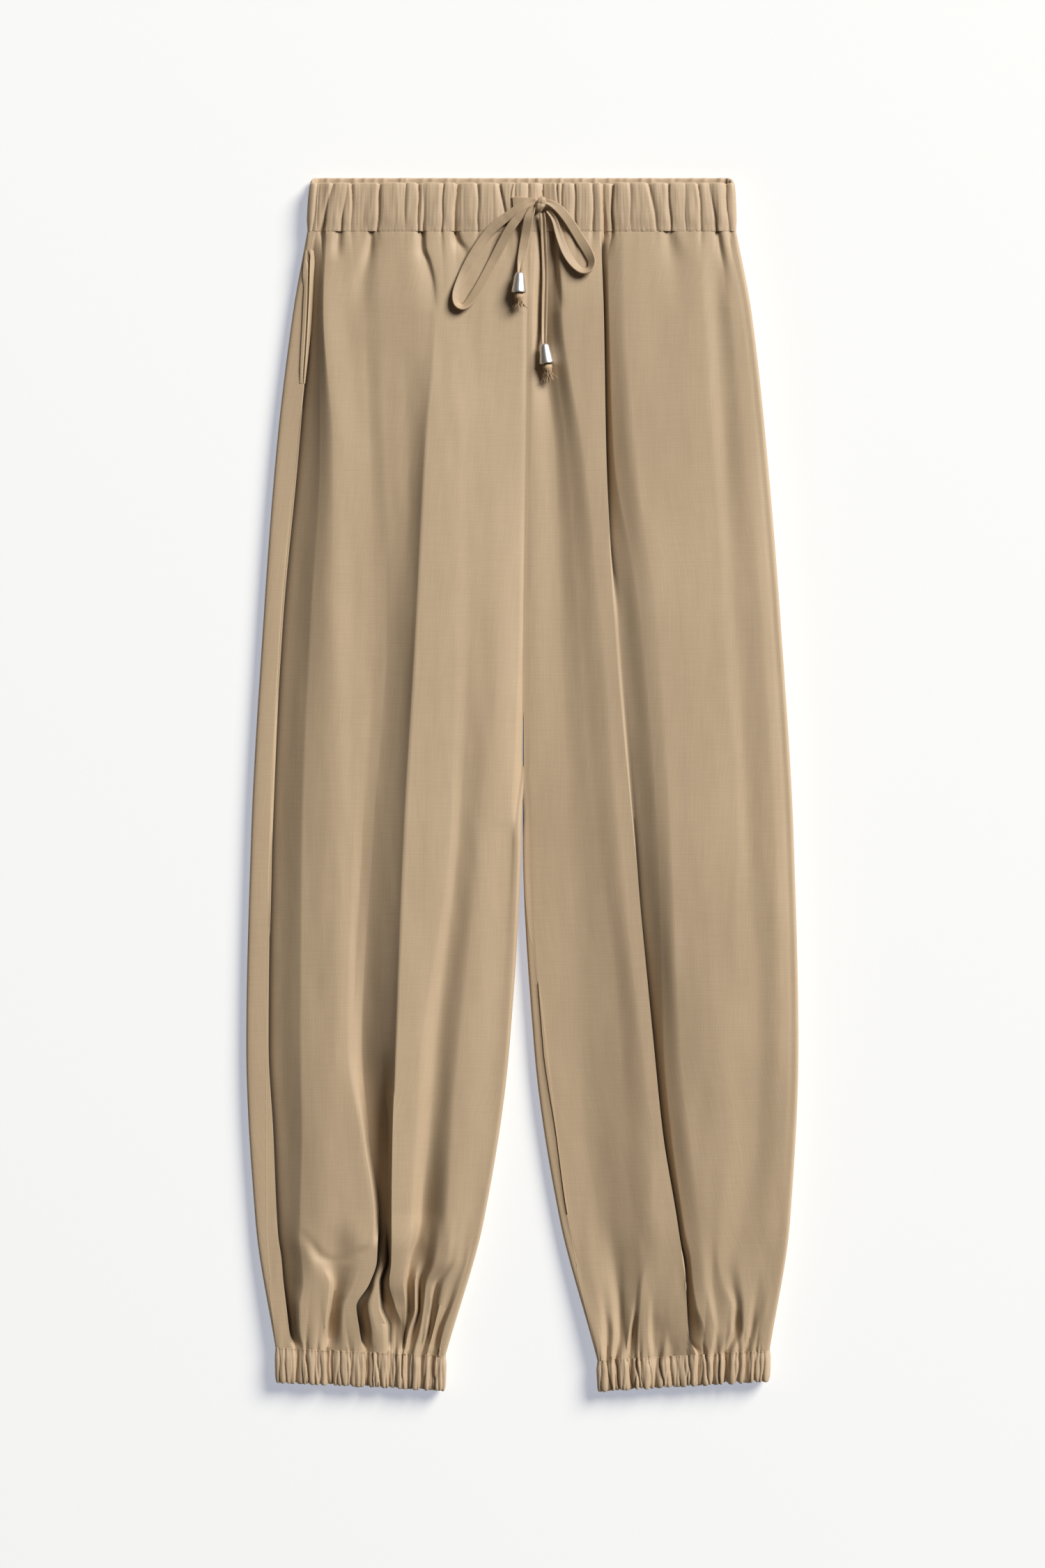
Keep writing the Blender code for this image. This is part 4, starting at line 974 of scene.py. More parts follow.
def tucks(folds, q, drop):
    shift = np.zeros(np.broadcast(q, drop).shape)
    for before, fold in zip(folds, folds[1:]):
        if fold.name in TUCKED:
            fall = along(before.height, drop) - along(fold.height, drop)
            pull = np.clip(TUCK_SHARE * fall, 0.0, TUCK_MOST)
            past = q - along(fold.across, drop)
            reach = np.where(past < 0, TUCK_REACH, TUCKED[fold.name])
            shift = shift - pull * np.exp(-(past / reach) ** 2)
    return shift


def lean(half, q, drop):
    """How far crests lean across and valleys are drawn in."""
    shift = np.zeros_like(q)
    for fold in half.folds:
        if fold.lean:
            place = along(fold.across, drop)
            shift = shift + fold.lean * np.exp(-((q - place) / LEAN_REACH) ** 2) * faded(drop, LEAN_ENDS)
    drawn = half.blended(drop, lambda folds: tucks(folds, q, drop))
    return shift + drawn * faded(drop, TUCK_ENDS)


# Narrow slots whose floors take painted shade: how dark it is, and how far on it reaches.
SHADED_SLOTS = {"side valley": (0.85, 3.2), "pleat valley": (0.85, 2.6), "calf slot": (0.85, 1.8),
         "ridge valley": (0.7, 1.8)}
SLOT_SHADE_ENDS = (50.0, 9.0, 966.0, 8.0)


def slot_shade_share(folds, q, drop):
    """How much painted shade the cloth takes down in a slot, from 0 to 1."""
    share = np.zeros(np.broadcast(q, drop).shape)
    for before, fold in zip(folds, folds[1:]):
        if fold.name in SHADED_SLOTS:
            most, reach = SHADED_SLOTS[fold.name]
            fall = along(before.height, drop) - along(fold.height, drop)
            past = q - along(fold.across, drop)
            here = np.exp(-(np.maximum(past, 0.0) / reach) ** 2) * smooth((past + 2.0) / 1.2)
            share = np.maximum(share, most * smooth(fall / CRISP_FALL) * here)
    return share


def painted_slot_shade(half, q, drop):
    """The painted shade of the slots for both sets of folds, faded out at the seams."""
    return half.blended(drop, lambda folds: slot_shade_share(folds, q, drop)) * faded(drop, SLOT_SHADE_ENDS)


# Columns of points: how many for each step of a fold, and those past the last fold.
COLUMN_SHARE = 1.22
LAST_COLUMNS = (6, 16)


def columns_across(half, drops, low, high):
    """Places of the columns of points: they run along the long folds, and below along the foot's."""
    middle = np.minimum(half.edges(drops).high_centre, high)
    stops, foot_stops = ([low] + [along(f.across, drops) for f in folds] + [middle, high]
                         for folds in (half.folds, half.foot))
    counts = [max(3, round(f.steps * COLUMN_SHARE)) for f in half.folds] + list(LAST_COLUMNS)
    columns = [stops[0]]
    for i, count in enumerate(counts):
        for step in range(1, count + 1):
            columns.append(stops[i] + (stops[i + 1] - stops[i]) * step / count)
    q = np.concatenate(columns, axis=1)
    hand_over = (FOOT_FROM + FOOT_TO[half.name]) / 2
    row = int(np.argmin(np.abs(drops[:, 0] - hand_over)))
    last = q.shape[1] - 1
    numbers = [0]
    for i, fold in enumerate(half.foot):
        place = along(fold.across, drops[row, 0])
        number = round(float(np.interp(place, q[row], np.arange(last + 1))))
        room = last - LAST_COLUMNS[1] - 2 * (len(half.foot) - i)
        numbers.append(min(max(number, numbers[-1] + 2), room))
    numbers += [last - LAST_COLUMNS[1], last]
    foot_q = np.array([np.interp(np.arange(last + 1), numbers, places)
                       for places in np.concatenate(foot_stops, axis=1)])
    share = half.foot_share(drops)
    return q * (1.0 - share) + foot_q * share


# A front's edge lies a little over the next piece, thinned, so that no gap shows.
LIP = 0.3
LIP_RISE = 0.1
LIP_WALL = 0.08


def lips_of(half, drop):
    """Where the low and the high edge of a front lie over the next piece: 1 is over, 0 beside."""
    whole = np.ones_like(drop)
    if half is RIGHT:
        return whole, 1.0 - smooth((drop - 430.0) / 40.0)
    return smooth((drop - 500.0) / 40.0), 0.0 * whole


def front(half):
    drops = row_drops(FRONT_STRETCHES)[:, None]
    low, high = half.seams(drops)
    low = low + HALF_GAP
    high = high - HALF_GAP
    low_lip, high_lip = lips_of(half, drops)
    q = columns_across(half, drops, low + LIP, high - LIP)
    q = np.concatenate([low - LIP * low_lip, q, high + LIP * high_lip], axis=1)
    drop = np.broadcast_to(drops, q.shape)
    inside = smooth((q - low) / EDGE_EASE) * smooth((high - q) / EDGE_EASE)
    rise = front_detail(half, q, drop) * inside
    rise[:, :1] += LIP_RISE * low_lip
    rise[:, -1:] += LIP_RISE * high_lip
    x, z = over(half, q, drop, rise)
    x = x + lean(half, q, drop)
    outer = metres(x, half.slanted(x, drop), z)
    cut = np.stack([arc_lengths(x, z) * MM, drop * MM], axis=-1)
    wall = np.full(q.shape, CLOTH_WALL)
    wall[:, :1] += (LIP_WALL - CLOTH_WALL) * low_lip
    wall[:, -1:] += (LIP_WALL - CLOTH_WALL) * high_lip
    inner = outer - grid_normals(outer) * wall[..., None] * MM
    made = shell("front_cloth_" + half.name, outer, inner, cut)
    # Each point's painted shade, which darkens the cloth's colour in the narrow slots.
    sunk = made.data.attributes.new("sunk", "FLOAT", "POINT")
    sunk.data.foreach_set("value", np.tile(painted_slot_shade(half, q, drop).ravel(), 2).astype(np.float32))
    return made


def under(half, side, length, drop):
    """Points at lengths along the floor and up round the low or the high edge."""
    e = half.edges(drop)
    sign = -1.0 if side == "low" else 1.0
    centre = e.low_centre if side == "low" else e.high_centre
    radius = e.low_r if side == "low" else e.high_r
    turn = np.maximum(length - SIDE_LEAD, 0.0) / radius
    bend = np.where(turn > math.pi / 2, EDGE_BEND, 1.0)
    wide = np.clip(np.sin(turn), 0.0, 1.0) ** bend
    tall = np.sign(np.cos(turn)) * np.abs(np.cos(turn)) ** bend
    round_x = centre + sign * radius * wide
    round_z = radius - radius * tall
    top_x = centre - sign * (turn - math.pi) * radius
    top_z = half.base(top_x, drop)
    x = np.where(length <= SIDE_LEAD, centre - sign * (SIDE_LEAD - length), round_x)
    x = np.where(turn > math.pi, top_x, x)
    z = np.where(length <= SIDE_LEAD, 0.0, round_z)
    return x, np.where(turn > math.pi, top_z, z)


def under_length(half, side, drop):
    """How far the back runs from the floor up to its seam."""
    e = half.edges(drop)
    low, high = half.seams(drop)
    if side == "low":
        radius, most, over_top = e.low_r, e.low_turn, e.low_centre - low
    else:
        radius, most, over_top = e.high_r, e.high_turn, high - e.high_centre
    open_side = most < math.pi / 2 - 1e-6
    full_side = (side == "low") == half.inner_is_high
    closed = smooth((drop - CURL_FROM) / (CURL_TO - CURL_FROM)) >= 1
    gap = np.where(closed | full_side, HALF_GAP, 0.0)
    return np.where(open_side, SIDE_LEAD + most * radius, SIDE_LEAD + math.pi * radius - over_top) - gap


BACK_SIDE_COLUMNS = 30
BACK_FLOOR_COLUMNS = 120
# Creases of the back, where it lies on the surface: the fold of the front that each keeps
# to, how high it stands, its half width, and where along the leg it swells and fades.
BACK_CREASES = {"right": (("side climb", 0.8, 4.5, 0.4), ("valley brink", 1.1, 6.5, 2.3),
                          ("inner trough", 0.9, 5.0, 4.4)),
                "left": (("channel side", 0.9, 5.0, 1.1), ("plateau start", 1.1, 6.0, 3.2),
                         ("outer dip", 0.8, 4.5, 5.0))}
BACK_SWELL = 88.0
BACK_ENDS = (60.0, 50.0, 880.0, 70.0)


def back_creases(half, x, drop):
    """How far the back stands off the surface: long creases, and gathers next to the casings."""
    rise = np.zeros(np.broadcast(x, drop).shape)
    for name, high, wide, start in BACK_CREASES[half.name]:
        fold = next(f for f in half.folds if f.name == name)
        away = np.abs(x - along(fold.across, drop)) / wide
        swell = 0.6 + 0.4 * np.sin(drop / BACK_SWELL + start)
        rise = np.maximum(rise, high * swell * np.exp(-away ** 1.3))
    rise = rise * faded(drop, BACK_ENDS)
    waves = 0.5 + 0.3 * np.sin(x / 1.9) + 0.2 * np.sin(x / 3.1 + 1.3)
    waist = 0.9 * smooth((drop - 46.5) / 6.0) * np.exp(-(drop - 46.5) / 28.0)
    cuff = 0.5 * smooth((966.0 - drop) / 6.0) * np.exp(-(966.0 - drop) / 24.0)
    return rise + waves * (waist + cuff)


def back(half):
    drops = row_drops(BACK_STRETCHES)[:, None]
    shares = np.arange(BACK_SIDE_COLUMNS)[None, :] / (BACK_SIDE_COLUMNS - 1)
    sides = {}
    for side in ("low", "high"):
        full = under_length(half, side, drops)
        sides[side] = under(half, side, full * shares, drops)
    low_x, low_z = (v[:, ::-1] for v in sides["low"])
    high_x, high_z = sides["high"]
    start = low_x[:, -1:]
    shares = (np.arange(BACK_FLOOR_COLUMNS)[None, :] + 1) / (BACK_FLOOR_COLUMNS + 1)
    floor_x = start + (high_x[:, :1] - start) * shares
    x = np.concatenate([low_x, floor_x, high_x], axis=1)[:, ::-1]
    z = np.concatenate([low_z, back_creases(half, floor_x, drops), high_z], axis=1)[:, ::-1]
    drop = np.broadcast_to(drops, x.shape)
    outer = metres(x, half.slanted(x, drop), z)
    cut = np.stack([arc_lengths(x, z) * MM, drop * MM], axis=-1)
    inner = outer - grid_normals(outer) * CLOTH_WALL * MM
    return shell("back_cloth_" + half.name, outer, inner, cut)


def section_ring(halves, drop):
    """Outline of a section as x and z, over the top from -X to +X and back underneath."""
    level = np.array([[float(drop)]])
    top = []
    for half in halves:
        low, high = half.seams(level)
        q = np.linspace(low[0, 0], high[0, 0], 900)[None, :]
        top.append(np.stack([v[0] for v in over(half, q, np.full_like(q, drop))], axis=-1))
    sides = []
    for half, side in ((halves[-1], "high"), (halves[0], "low")):
        lengths = np.linspace(0.0, 1.0, 200)[None, :] * under_length(half, side, level)
        sides.append(np.stack([v[0] for v in under(half, side, lengths, level)], axis=-1))
    return np.concatenate(top), np.concatenate([sides[0][::-1], sides[1]])


def spaced(points, step):
    """A run of points resampled evenly, about a step apart, without its last."""
    lengths = np.concatenate([[0.0], np.cumsum(np.hypot(*np.diff(points, axis=0).T))])
    keep = np.concatenate([[True], np.diff(lengths) > 1e-9])
    lengths = lengths[keep]
    points = points[keep]
    at = np.linspace(0.0, lengths[-1], max(2, round(lengths[-1] / step)) + 1)[:-1]
    return np.stack([np.interp(at, lengths, points[:, i]) for i in range(2)], axis=-1)


# A casing's ring: steps between its points in front and behind, its wall, how it rounds over
# its edge, how far apart the gathers lie behind, and how the cloth between two bulges.
FRONT_STEP = 0.5
BACK_STEP = 1.3
CASING_WALL = 3.0
EDGE_ROUND = 1.4
BACK_SPACING = (6.0, 13.0)
BULGE = 0.05
BULGE_MOST = 0.4
# How far up a casing, and how far it swells past the panel there.
SWELL_UP = (-0.012, 0.02, 0.05, 0.12, 0.3, 0.7, 0.93, 1.0)
SWELL_OUT = (0.12, 0.16, 0.22, 0.35, 0.7, 0.9, 0.6, 0.2)
OUTER_UPS = (-0.012, 0.02, 0.05, 0.09, 0.14, 0.2, 0.27, 0.35, 0.43, 0.51, 0.59, 0.67, 0.75, 0.82, 0.88,
             0.93, 0.97, 1)
INNER_UPS = (0.97, 0.9, 0.8, 0.6, 0.4, 0.2, 0.08, 0.0)
ARC_TURNS = (25, 50, 75, 100, 125, 150, 180)
INNER_SHARE = 0.55


def gather_lines(front, back_length, front_length, rows, style):
    """Where the gathers lie along a ring at its seam and its edge, and how deep and wide."""
    lengths = np.concatenate([[0.0], np.cumsum(np.hypot(*np.diff(front, axis=0).T))])
    lines = []
    for row in rows:
        at_seam, at_top = (np.interp(x, front[:, 0], lengths) for x in (row.x_seam, row.x_top))
        lines.append((at_seam, at_top, row.deep_seam, row.deep_top, row.width * style.narrow))
    dice = random.Random(style.seed)
    place = 2.0
    while style.spacing and place < front_length - 2.0:
        lines.append((place, place + dice.uniform(-2.0, 2.0), dice.uniform(0.0, 0.5),
                      dice.uniform(0.2, 1.2), dice.uniform(0.45, 0.8)))
        place += dice.uniform(*style.spacing)
    place = front_length + dice.uniform(3.0, 6.0)
    while place < front_length + back_length - 3.0:
        lines.append((place, place + dice.uniform(-2.0, 2.0), dice.uniform(0.6, 1.8),
                      dice.uniform(0.5, 1.6), dice.uniform(1.1, 1.7)))
        place += dice.uniform(*BACK_SPACING)
    return np.array(sorted(lines))


# How a casing is gathered: its seed, how narrow its gathers are, how far apart the fine ones
# between them lie, how ragged its edge is, how wrinkled it is, how fine, and its puckers.
CasingStyle = namedtuple("CasingStyle", "seed narrow spacing scallop wrinkle fine pucker")


def casing(name, halves, drop, rows, style, to_place, high):
    """A gathered elastic casing: a closed ring of doubled cloth that rounds over its edge."""
    top, below = section_ring(halves, drop)
    front = spaced(top, FRONT_STEP)
    back = spaced(below, BACK_STEP)
    ring = np.concatenate([front, back])
    across = np.roll(ring, -1, axis=0) - np.roll(ring, 1, axis=0)
    across /= np.maximum(np.hypot(*across.T), 1e-9)[:, None]
    normal = np.stack([-across[:, 1], across[:, 0]], axis=-1)
    steps = np.hypot(*(np.roll(ring, -1, axis=0) - ring).T)
    s = np.concatenate([[0.0], np.cumsum(steps)[:-1]])
    total = float(steps.sum())
    front_length = float(steps[:len(front)].sum())
    lines = gather_lines(top, total - front_length, front_length, rows, style)
    seed = style.seed

    def dents(up, sharp):
        """Depth of the gathers and height of the bulges between them, round the ring."""
        off_seam = float(smooth(up / 0.3))
        wander = 0.6 * off_seam * np.sin(up * 5.0 + np.arange(len(lines)) * 1.7)
        centres = lines[:, 0] + (lines[:, 1] - lines[:, 0]) * up + wander
        at = max(up, 0.0)
        depths = GATHER_DEPTH * (lines[:, 2] * (1.0 - at) ** 1.3 + lines[:, 3] * at ** 1.3)
        deep = np.zeros_like(s)
        for i, (centre, depth, width) in enumerate(zip(centres, depths, lines[:, 4])):
            away = (s - centre + total / 2) % total - total / 2
            deep += depth * groove(away, width * sharp, skew_of(i))
        order = np.sort(centres % total)
        stops = np.concatenate([[order[-1] - total], order, [order[0] + total]])
        i = np.searchsorted(stops, s, side="right") - 1
        gap = stops[i + 1] - stops[i]
        t = (s - stops[i]) / np.maximum(gap, 1e-6)
        return deep, np.minimum(BULGE_MOST, BULGE * gap) * 4 * t * (1 - t) * off_seam

    def wrinkles(up):
        """Fine unevenness between the gathers, and the puckers of the seam."""
        flat = noise_over(s / 5.0, up * 1.6, seed) + 0.5 * noise_over(s / 1.9, up * 1.4, seed + 7.0)
        patches = noise_over(s / 9.0, up * 0.7, seed + 3.0)
        fine = noise_over(s / 1.5, up * 2.0, seed + 11.0)
        flat = flat + style.fine * fine * smooth(patches * 4.0 + 0.3)
        share, pucker_seed, reach = style.pucker
        drawn = share * puckers(ring[:, 0], max(up, 0.0) * high, pucker_seed, reach)
        return style.wrinkle * flat * float(smooth(up / 0.25)) + drawn

    walls = []
    places = []
    for up in OUTER_UPS:
        deep, bulge = dents(up, 1.0)
        swell = curve(SWELL_UP, SWELL_OUT, up)
        walls.append(ring + normal * (swell + bulge - deep + wrinkles(up))[:, None])
        places.append((up, 0.0))
    deep, bulge = dents(1.0, 1.2)
    for turn in ARC_TURNS:
        angle = math.radians(turn)
        offset = SWELL_OUT[-1] - EDGE_ROUND * (1 - math.cos(angle))
        share = 1.0 - (1.0 - INNER_SHARE) * turn / 180.0
        walls.append(ring + normal * (offset + (bulge - deep + wrinkles(1.0)) * share)[:, None])
        places.append((1.0, EDGE_ROUND * math.sin(angle)))
    for up in INNER_UPS:
        deep, bulge = dents(up, 1.3)
        wall = 2 * EDGE_ROUND - SWELL_OUT[-1] + (CASING_WALL - 2 * EDGE_ROUND) * (1.0 - up)
        walls.append(ring + normal * (-wall + (bulge - deep) * INNER_SHARE)[:, None])
        places.append((up, 0.0))
    edge_deep, edge_bulge = dents(1.0, 1.6)
    grid = []
    cut = []
    for points, (up, past) in zip(walls, places):
        x = points[:, 0]
        z = np.maximum(points[:, 1], 0.0)
        scallop = (style.scallop * edge_deep - 0.3 * edge_bulge) * up * up
        px, drop_at = to_place(x, ring[:, 1], up, past, scallop)
        grid.append(metres(px, drop_at, z))
        cut.append(np.stack([s * MM, drop_at * MM], axis=-1))
    return ring_mesh(name, np.array(grid), np.array(cut), total * MM)


def ring_mesh(name, grid, cut, total):
    """A closed tube of points, rows round the wall's profile and columns round the ring."""
    rows, columns = grid.shape[:2]
    numbers = np.arange(rows * columns).reshape(rows, columns)
    a = numbers
    b = np.roll(numbers, -1, axis=0)
    c = np.roll(b, -1, axis=1)
    d = np.roll(a, -1, axis=1)
    faces = np.stack([a, d, c, b], axis=-1).reshape(-1, 4)
    corners = np.stack([cut, np.roll(cut, -1, axis=1), np.roll(np.roll(cut, -1, axis=0), -1, axis=1),
                        np.roll(cut, -1, axis=0)], axis=2).copy()
    corners[:, -1, 1:3, 0] += total
    return add_mesh(name, grid.reshape(-1, 3).tolist(), faces.tolist(), corners.reshape(-1, 2),
                    CASING_CLOTH)


# How much a casing draws in towards its edge.
WAIST_TAPER = 0.013
CUFF_TAPER = 0.014


def waist_place(x, ring_z, up, past, scallop):
    lift = smooth(ring_z / 12.0)
    edge = (FRONT_EDGE_DROP + scallop) * lift + EDGE_ROUND
    start = WAIST_SEAM - HALF_GAP
    up = np.where(up < 0, up * smooth(ring_z / 3.0), up)
    return x * (1.0 - WAIST_TAPER * up), start + (edge - start) * up - past


def cuff_place(half):
    middle = (half.slant.x_a + half.slant.x_b) / 2

    def place(x, ring_z, up, past, scallop):
        up = np.where(up < 0, up * smooth(ring_z / 3.0), up)
        x = middle + (x - middle) * (1.0 - CUFF_TAPER * up)
        down = HALF_GAP + (half.cuff_depth - EDGE_ROUND - scallop - HALF_GAP) * up + past
        return x, half.slanted(x, CUFF_SEAM) + down
    return place


def dress(piece, node, slot):
    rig.ride(piece, "root")
    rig.replaces(piece, node)
    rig.slot(piece, slot)
    return piece


laid = []
for half in (RIGHT, LEFT):
    laid.append(dress(front(half), "front_" + half.name, "cloth"))
    laid.append(dress(back(half), "back_" + half.name, "cloth"))
    style = CasingStyle(11, 0.72, (2.5, 7.0), 0.8, 0.5, 0.4,
                        (1.0, PUCKER_SEEDS[half.name], CUFF_PUCKER_REACH))
    cuff = casing("cuff_cloth_" + half.name, (half,), CUFF_SEAM, CUFF_GATHERS[half.name], style,
                  cuff_place(half), half.cuff_depth)
    laid.append(dress(cuff, "cuff_" + half.name, "casing"))
style = CasingStyle(5, 0.9, None, 0.5, 0.42, 0.3, (0.4, PUCKER_SEEDS["waist"], WAIST_PUCKER_REACH))
band = casing("waistband_cloth", (RIGHT, LEFT), WAIST_SEAM, WAIST_GATHERS, style, waist_place,
              WAIST_SEAM - FRONT_EDGE_DROP)
laid.append(dress(band, "waistband", "casing"))


class Surface:
    """The upper face of pieces that something else is laid on."""

    def __init__(self, pieces):
        self.trees = []
        for piece in pieces:
            corners = [v.co for v in piece.data.vertices]
            faces = [tuple(p.vertices) for p in piece.data.polygons]
            self.trees.append(BVHTree.FromPolygons(corners, faces))

    def height(self, x, drop):
        """Height of the topmost face over a place, in millimetres."""
        start = Vector((x * MM, (LENGTH / 2 - drop) * MM, 0.2))
        best = 0.0
        for tree in self.trees:
            hit = tree.ray_cast(start, Vector((0.0, 0.0, -1.0)))[0]
            if hit is not None:
                best = max(best, hit.z / MM)
        return best


SURFACE = Surface(laid)


# The drawstring: rows of place across, drop, lift over what it crosses, width, and how
# far the tape rolls on to its edge, in degrees.
TAPE_WIDTH = 8.0
TAPE_WALL = 1.1
TAPE_CLEAR = 0.15
TapePoint = namedtuple("TapePoint", "x drop lift width roll")

STUB = tuple(TapePoint(*row) for row in (
    (-7.6, 22.6, 0, 9, 0), (-2.5, 22.2, 0, 8.6, 0),
    (3.5, 22, 0, 7, 8), (10.9, 22, 0.2, 5, 12),
))
LOOP_RIGHT = tuple(TapePoint(*row) for row in (
    (10.1, 22.9, 1.5, 5, -20), (4.5, 24.6, 1.5, 6.4, -16), (-2.6, 28.2, 1.5, 7.4, -10),
    (-11, 33.6, 1.5, 7.8, -6), (-19.3, 39.7, 1, 8, 0), (-26.5, 46.4, 0.5, 8, 6),
    (-32.5, 54, 0, 8, 8), (-40.5, 66.4, 0, 8, 6), (-46.6, 78, 0, 8, 4),
    (-51.2, 89.1, 0, 7.8, 12), (-54.4, 99, 0, 7.4, 28), (-54, 106.6, 0, 7, 46),
    (-49.2, 109.4, 0, 7, 46), (-44, 105.4, 0, 7.4, 28), (-37.6, 96, 0, 7.8, 12),
    (-30.4, 83.5, 0, 8, 4), (-23.6, 70.2, 0.3, 8, 0), (-17, 57.4, 1.6, 8, -4),
    (-10.6, 45.6, 3, 7.6, -8), (-3, 35.4, 3, 7, -10),
    (4, 29.6, 3, 5.5, -6), (9.9, 26.9, 3, 4.5, 0),
))
LOOP_LEFT = tuple(TapePoint(*row) for row in (
    (20.4, 22.6, 1.5, 5, 16), (24.6, 24.2, 1.5, 6.2, 12),
    (30.2, 28.2, 1.5, 7.4, 8), (36.6, 35.5, 1, 7.8, 4),
    (42.6, 44.2, 0.5, 8, 0), (49.2, 55.2, 0, 8, -6), (54.3, 63.8, 0, 8, -16),
    (57.4, 71.9, 0, 7.4, -34), (55.2, 78.4, 0, 7, -46), (48.8, 79.4, 0, 7, -44),
    (42.4, 73.9, 0, 7.4, -30), (36.6, 65.2, 0, 7.4, -20), (32.2, 55.2, 0, 6.8, -16),
    (29.4, 46.6, 0, 6.2, -12), (27, 38.5, 0, 5.4, -8),
    (24.4, 33.4, 0, 4.6, -4), (21.2, 29.2, 0, 4, 0),
))
TAIL_SHORT = tuple(TapePoint(*row) for row in (
    (9.1, 27, 4.6, 4, 0), (7.4, 30.6, 4.8, 6.5, 4), (5.2, 36, 4.4, 7.6, 6), (3.9, 43, 2.6, 8, 4),
    (2.4, 52, 1, 8, 0), (0.7, 62, 0.6, 7.8, 0), (-1, 71.5, 1.8, 6.4, 0), (-2, 80.5, 4.2, 4.2, 0),
    (-2.7, 88, 4.2, 4, 0), (-3.4, 96.8, 4.2, 4, 0),
))
TAIL_LONG = tuple(TapePoint(*row) for row in (
    (16.4, 31.8, 3.2, 4.6, 0), (17, 37, 2.6, 5, 0),
    (17.4, 45.4, 1, 5, 0), (18, 58.6, 0.2, 5, 0),
    (18.6, 71.9, 0, 5, 0), (18.9, 85.1, 0, 5, 0),
    (18.5, 101.8, 0, 5, 0), (18.2, 118, 0.4, 5, 0),
    (18.1, 130, 2, 4.8, 0), (18.2, 138.5, 4.2, 4.2, 0),
    (19.1, 146, 4.2, 4, 0), (20.2, 154.6, 4.2, 4, 0),
))
TAPE_STEP = 1.2
# Half of a tape's outline, across from its middle to its edge: share of half the width,
# share of half the thickness, and how far the middle sinks where the tape is folded in.
OUTLINE = ((0.0, 1.0), (0.25, 1.0), (0.5, 1.0), (0.72, 1.06), (0.86, 1.12), (0.95, 0.8), (1.0, 0.0))


def tape_outline(width, thick):
    """Points round a tape's section, from its edge over the top to the other edge and back."""
    folded = min(1.0, max(0.0, (TAPE_WIDTH - width - 0.6) / 2.4))
    upper = []
    for across, up in OUTLINE:
        sink = 0.85 * folded * math.exp(-(across / 0.28) ** 2)
        upper.append((across * width / 2, (up - sink) * thick / 2))
    lower = [(across, -abs(up)) for across, up in upper[:-1]]
    left_top = [(-a, b) for a, b in upper[:0:-1]]
    left_low = [(-a, b) for a, b in lower[1:]]
    return left_top + upper + lower[::-1] + left_low


def through(rows, step):
    """Rows along a smooth curve through named rows, about a step apart."""
    made = []
    last = len(rows) - 1
    for i in range(last):
        before = rows[max(i - 1, 0)]
        a = rows[i]
        b = rows[i + 1]
        after = rows[min(i + 2, last)]
        count = max(1, round(math.hypot(b.x - a.x, b.drop - a.drop) / step))
        for k in range(count):
            t = k / count
            made.append(TapePoint(*[
                0.5 * (2 * q + (r - p) * t + (2 * p - 5 * q + 4 * r - s) * t * t
                       + (3 * q - p - 3 * r + s) * t**3)
                for p, q, r, s in zip(before, a, b, after)]))
    made.append(rows[last])
    return made


def rest_heights(run):
    """Height of the underside of a tape along its run, eased over what it lies on."""
    under_it = []
    for i, p in enumerate(run):
        a = run[max(i - 1, 0)]
        b = run[min(i + 1, len(run) - 1)]
        long = math.hypot(b.x - a.x, b.drop - a.drop)
        sx = (b.drop - a.drop) / long
        sy = -(b.x - a.x) / long
        reach = p.width / 2 * math.cos(math.radians(p.roll))
        under_it.append(max(SURFACE.height(p.x + sx * reach * k, p.drop + sy * reach * k)
                            for k in (-1.0, -0.5, 0.0, 0.5, 1.0)))
    high = np.array([max(under_it[max(i - 2, 0):i + 3]) for i in range(len(run))])
    weights = np.exp(-np.linspace(-2.0, 2.0, 9) ** 2)
    padded = np.pad(high, 4, mode="edge")
    eased = np.convolve(padded, weights / weights.sum(), mode="valid")
    return np.maximum(eased, under_it) + TAPE_CLEAR + np.array([p.lift for p in run])


def tube(name, centres, sides, ups, outlines, material):
    """A closed tube with an outline at each point of a path; sides and ups turn the outline."""
    count = len(outlines[0])
    points = []
    for centre, side, up, outline in zip(centres, sides, ups, outlines):
        for a, b in outline:
            points.append(tuple((centre + side * a + up * b) * MM))
    lengths = np.concatenate([[0.0], np.cumsum(np.linalg.norm(np.diff(centres, axis=0), axis=1))])
    rounds = []
    for outline in outlines:
        turn = np.array(outline + outline[:1])
        rounds.append(np.concatenate([[0.0], np.cumsum(np.hypot(*np.diff(turn, axis=0).T))]))
    faces = []
    uvs = []
    for r in range(len(centres) - 1):
        for k in range(count):
            j = (k + 1) % count
            faces.append((r * count + k, r * count + j, (r + 1) * count + j, (r + 1) * count + k))
            uvs += [(rounds[a][b] * MM, lengths[a] * MM)
                    for a, b in ((r, k), (r, k + 1), (r + 1, k + 1), (r + 1, k))]
    last = (len(centres) - 1) * count
    faces.append(tuple(range(count))[::-1])
    faces.append(tuple(range(last, last + count)))
    uvs += [(a * MM, lengths[0] * MM) for a, b in outlines[0][::-1]]
    uvs += [(a * MM, lengths[-1] * MM) for a, b in outlines[-1]]
    return add_mesh(name, points, faces, uvs, material)


def spot(x, drop, z):
    return np.array((x, LENGTH / 2 - drop, z))


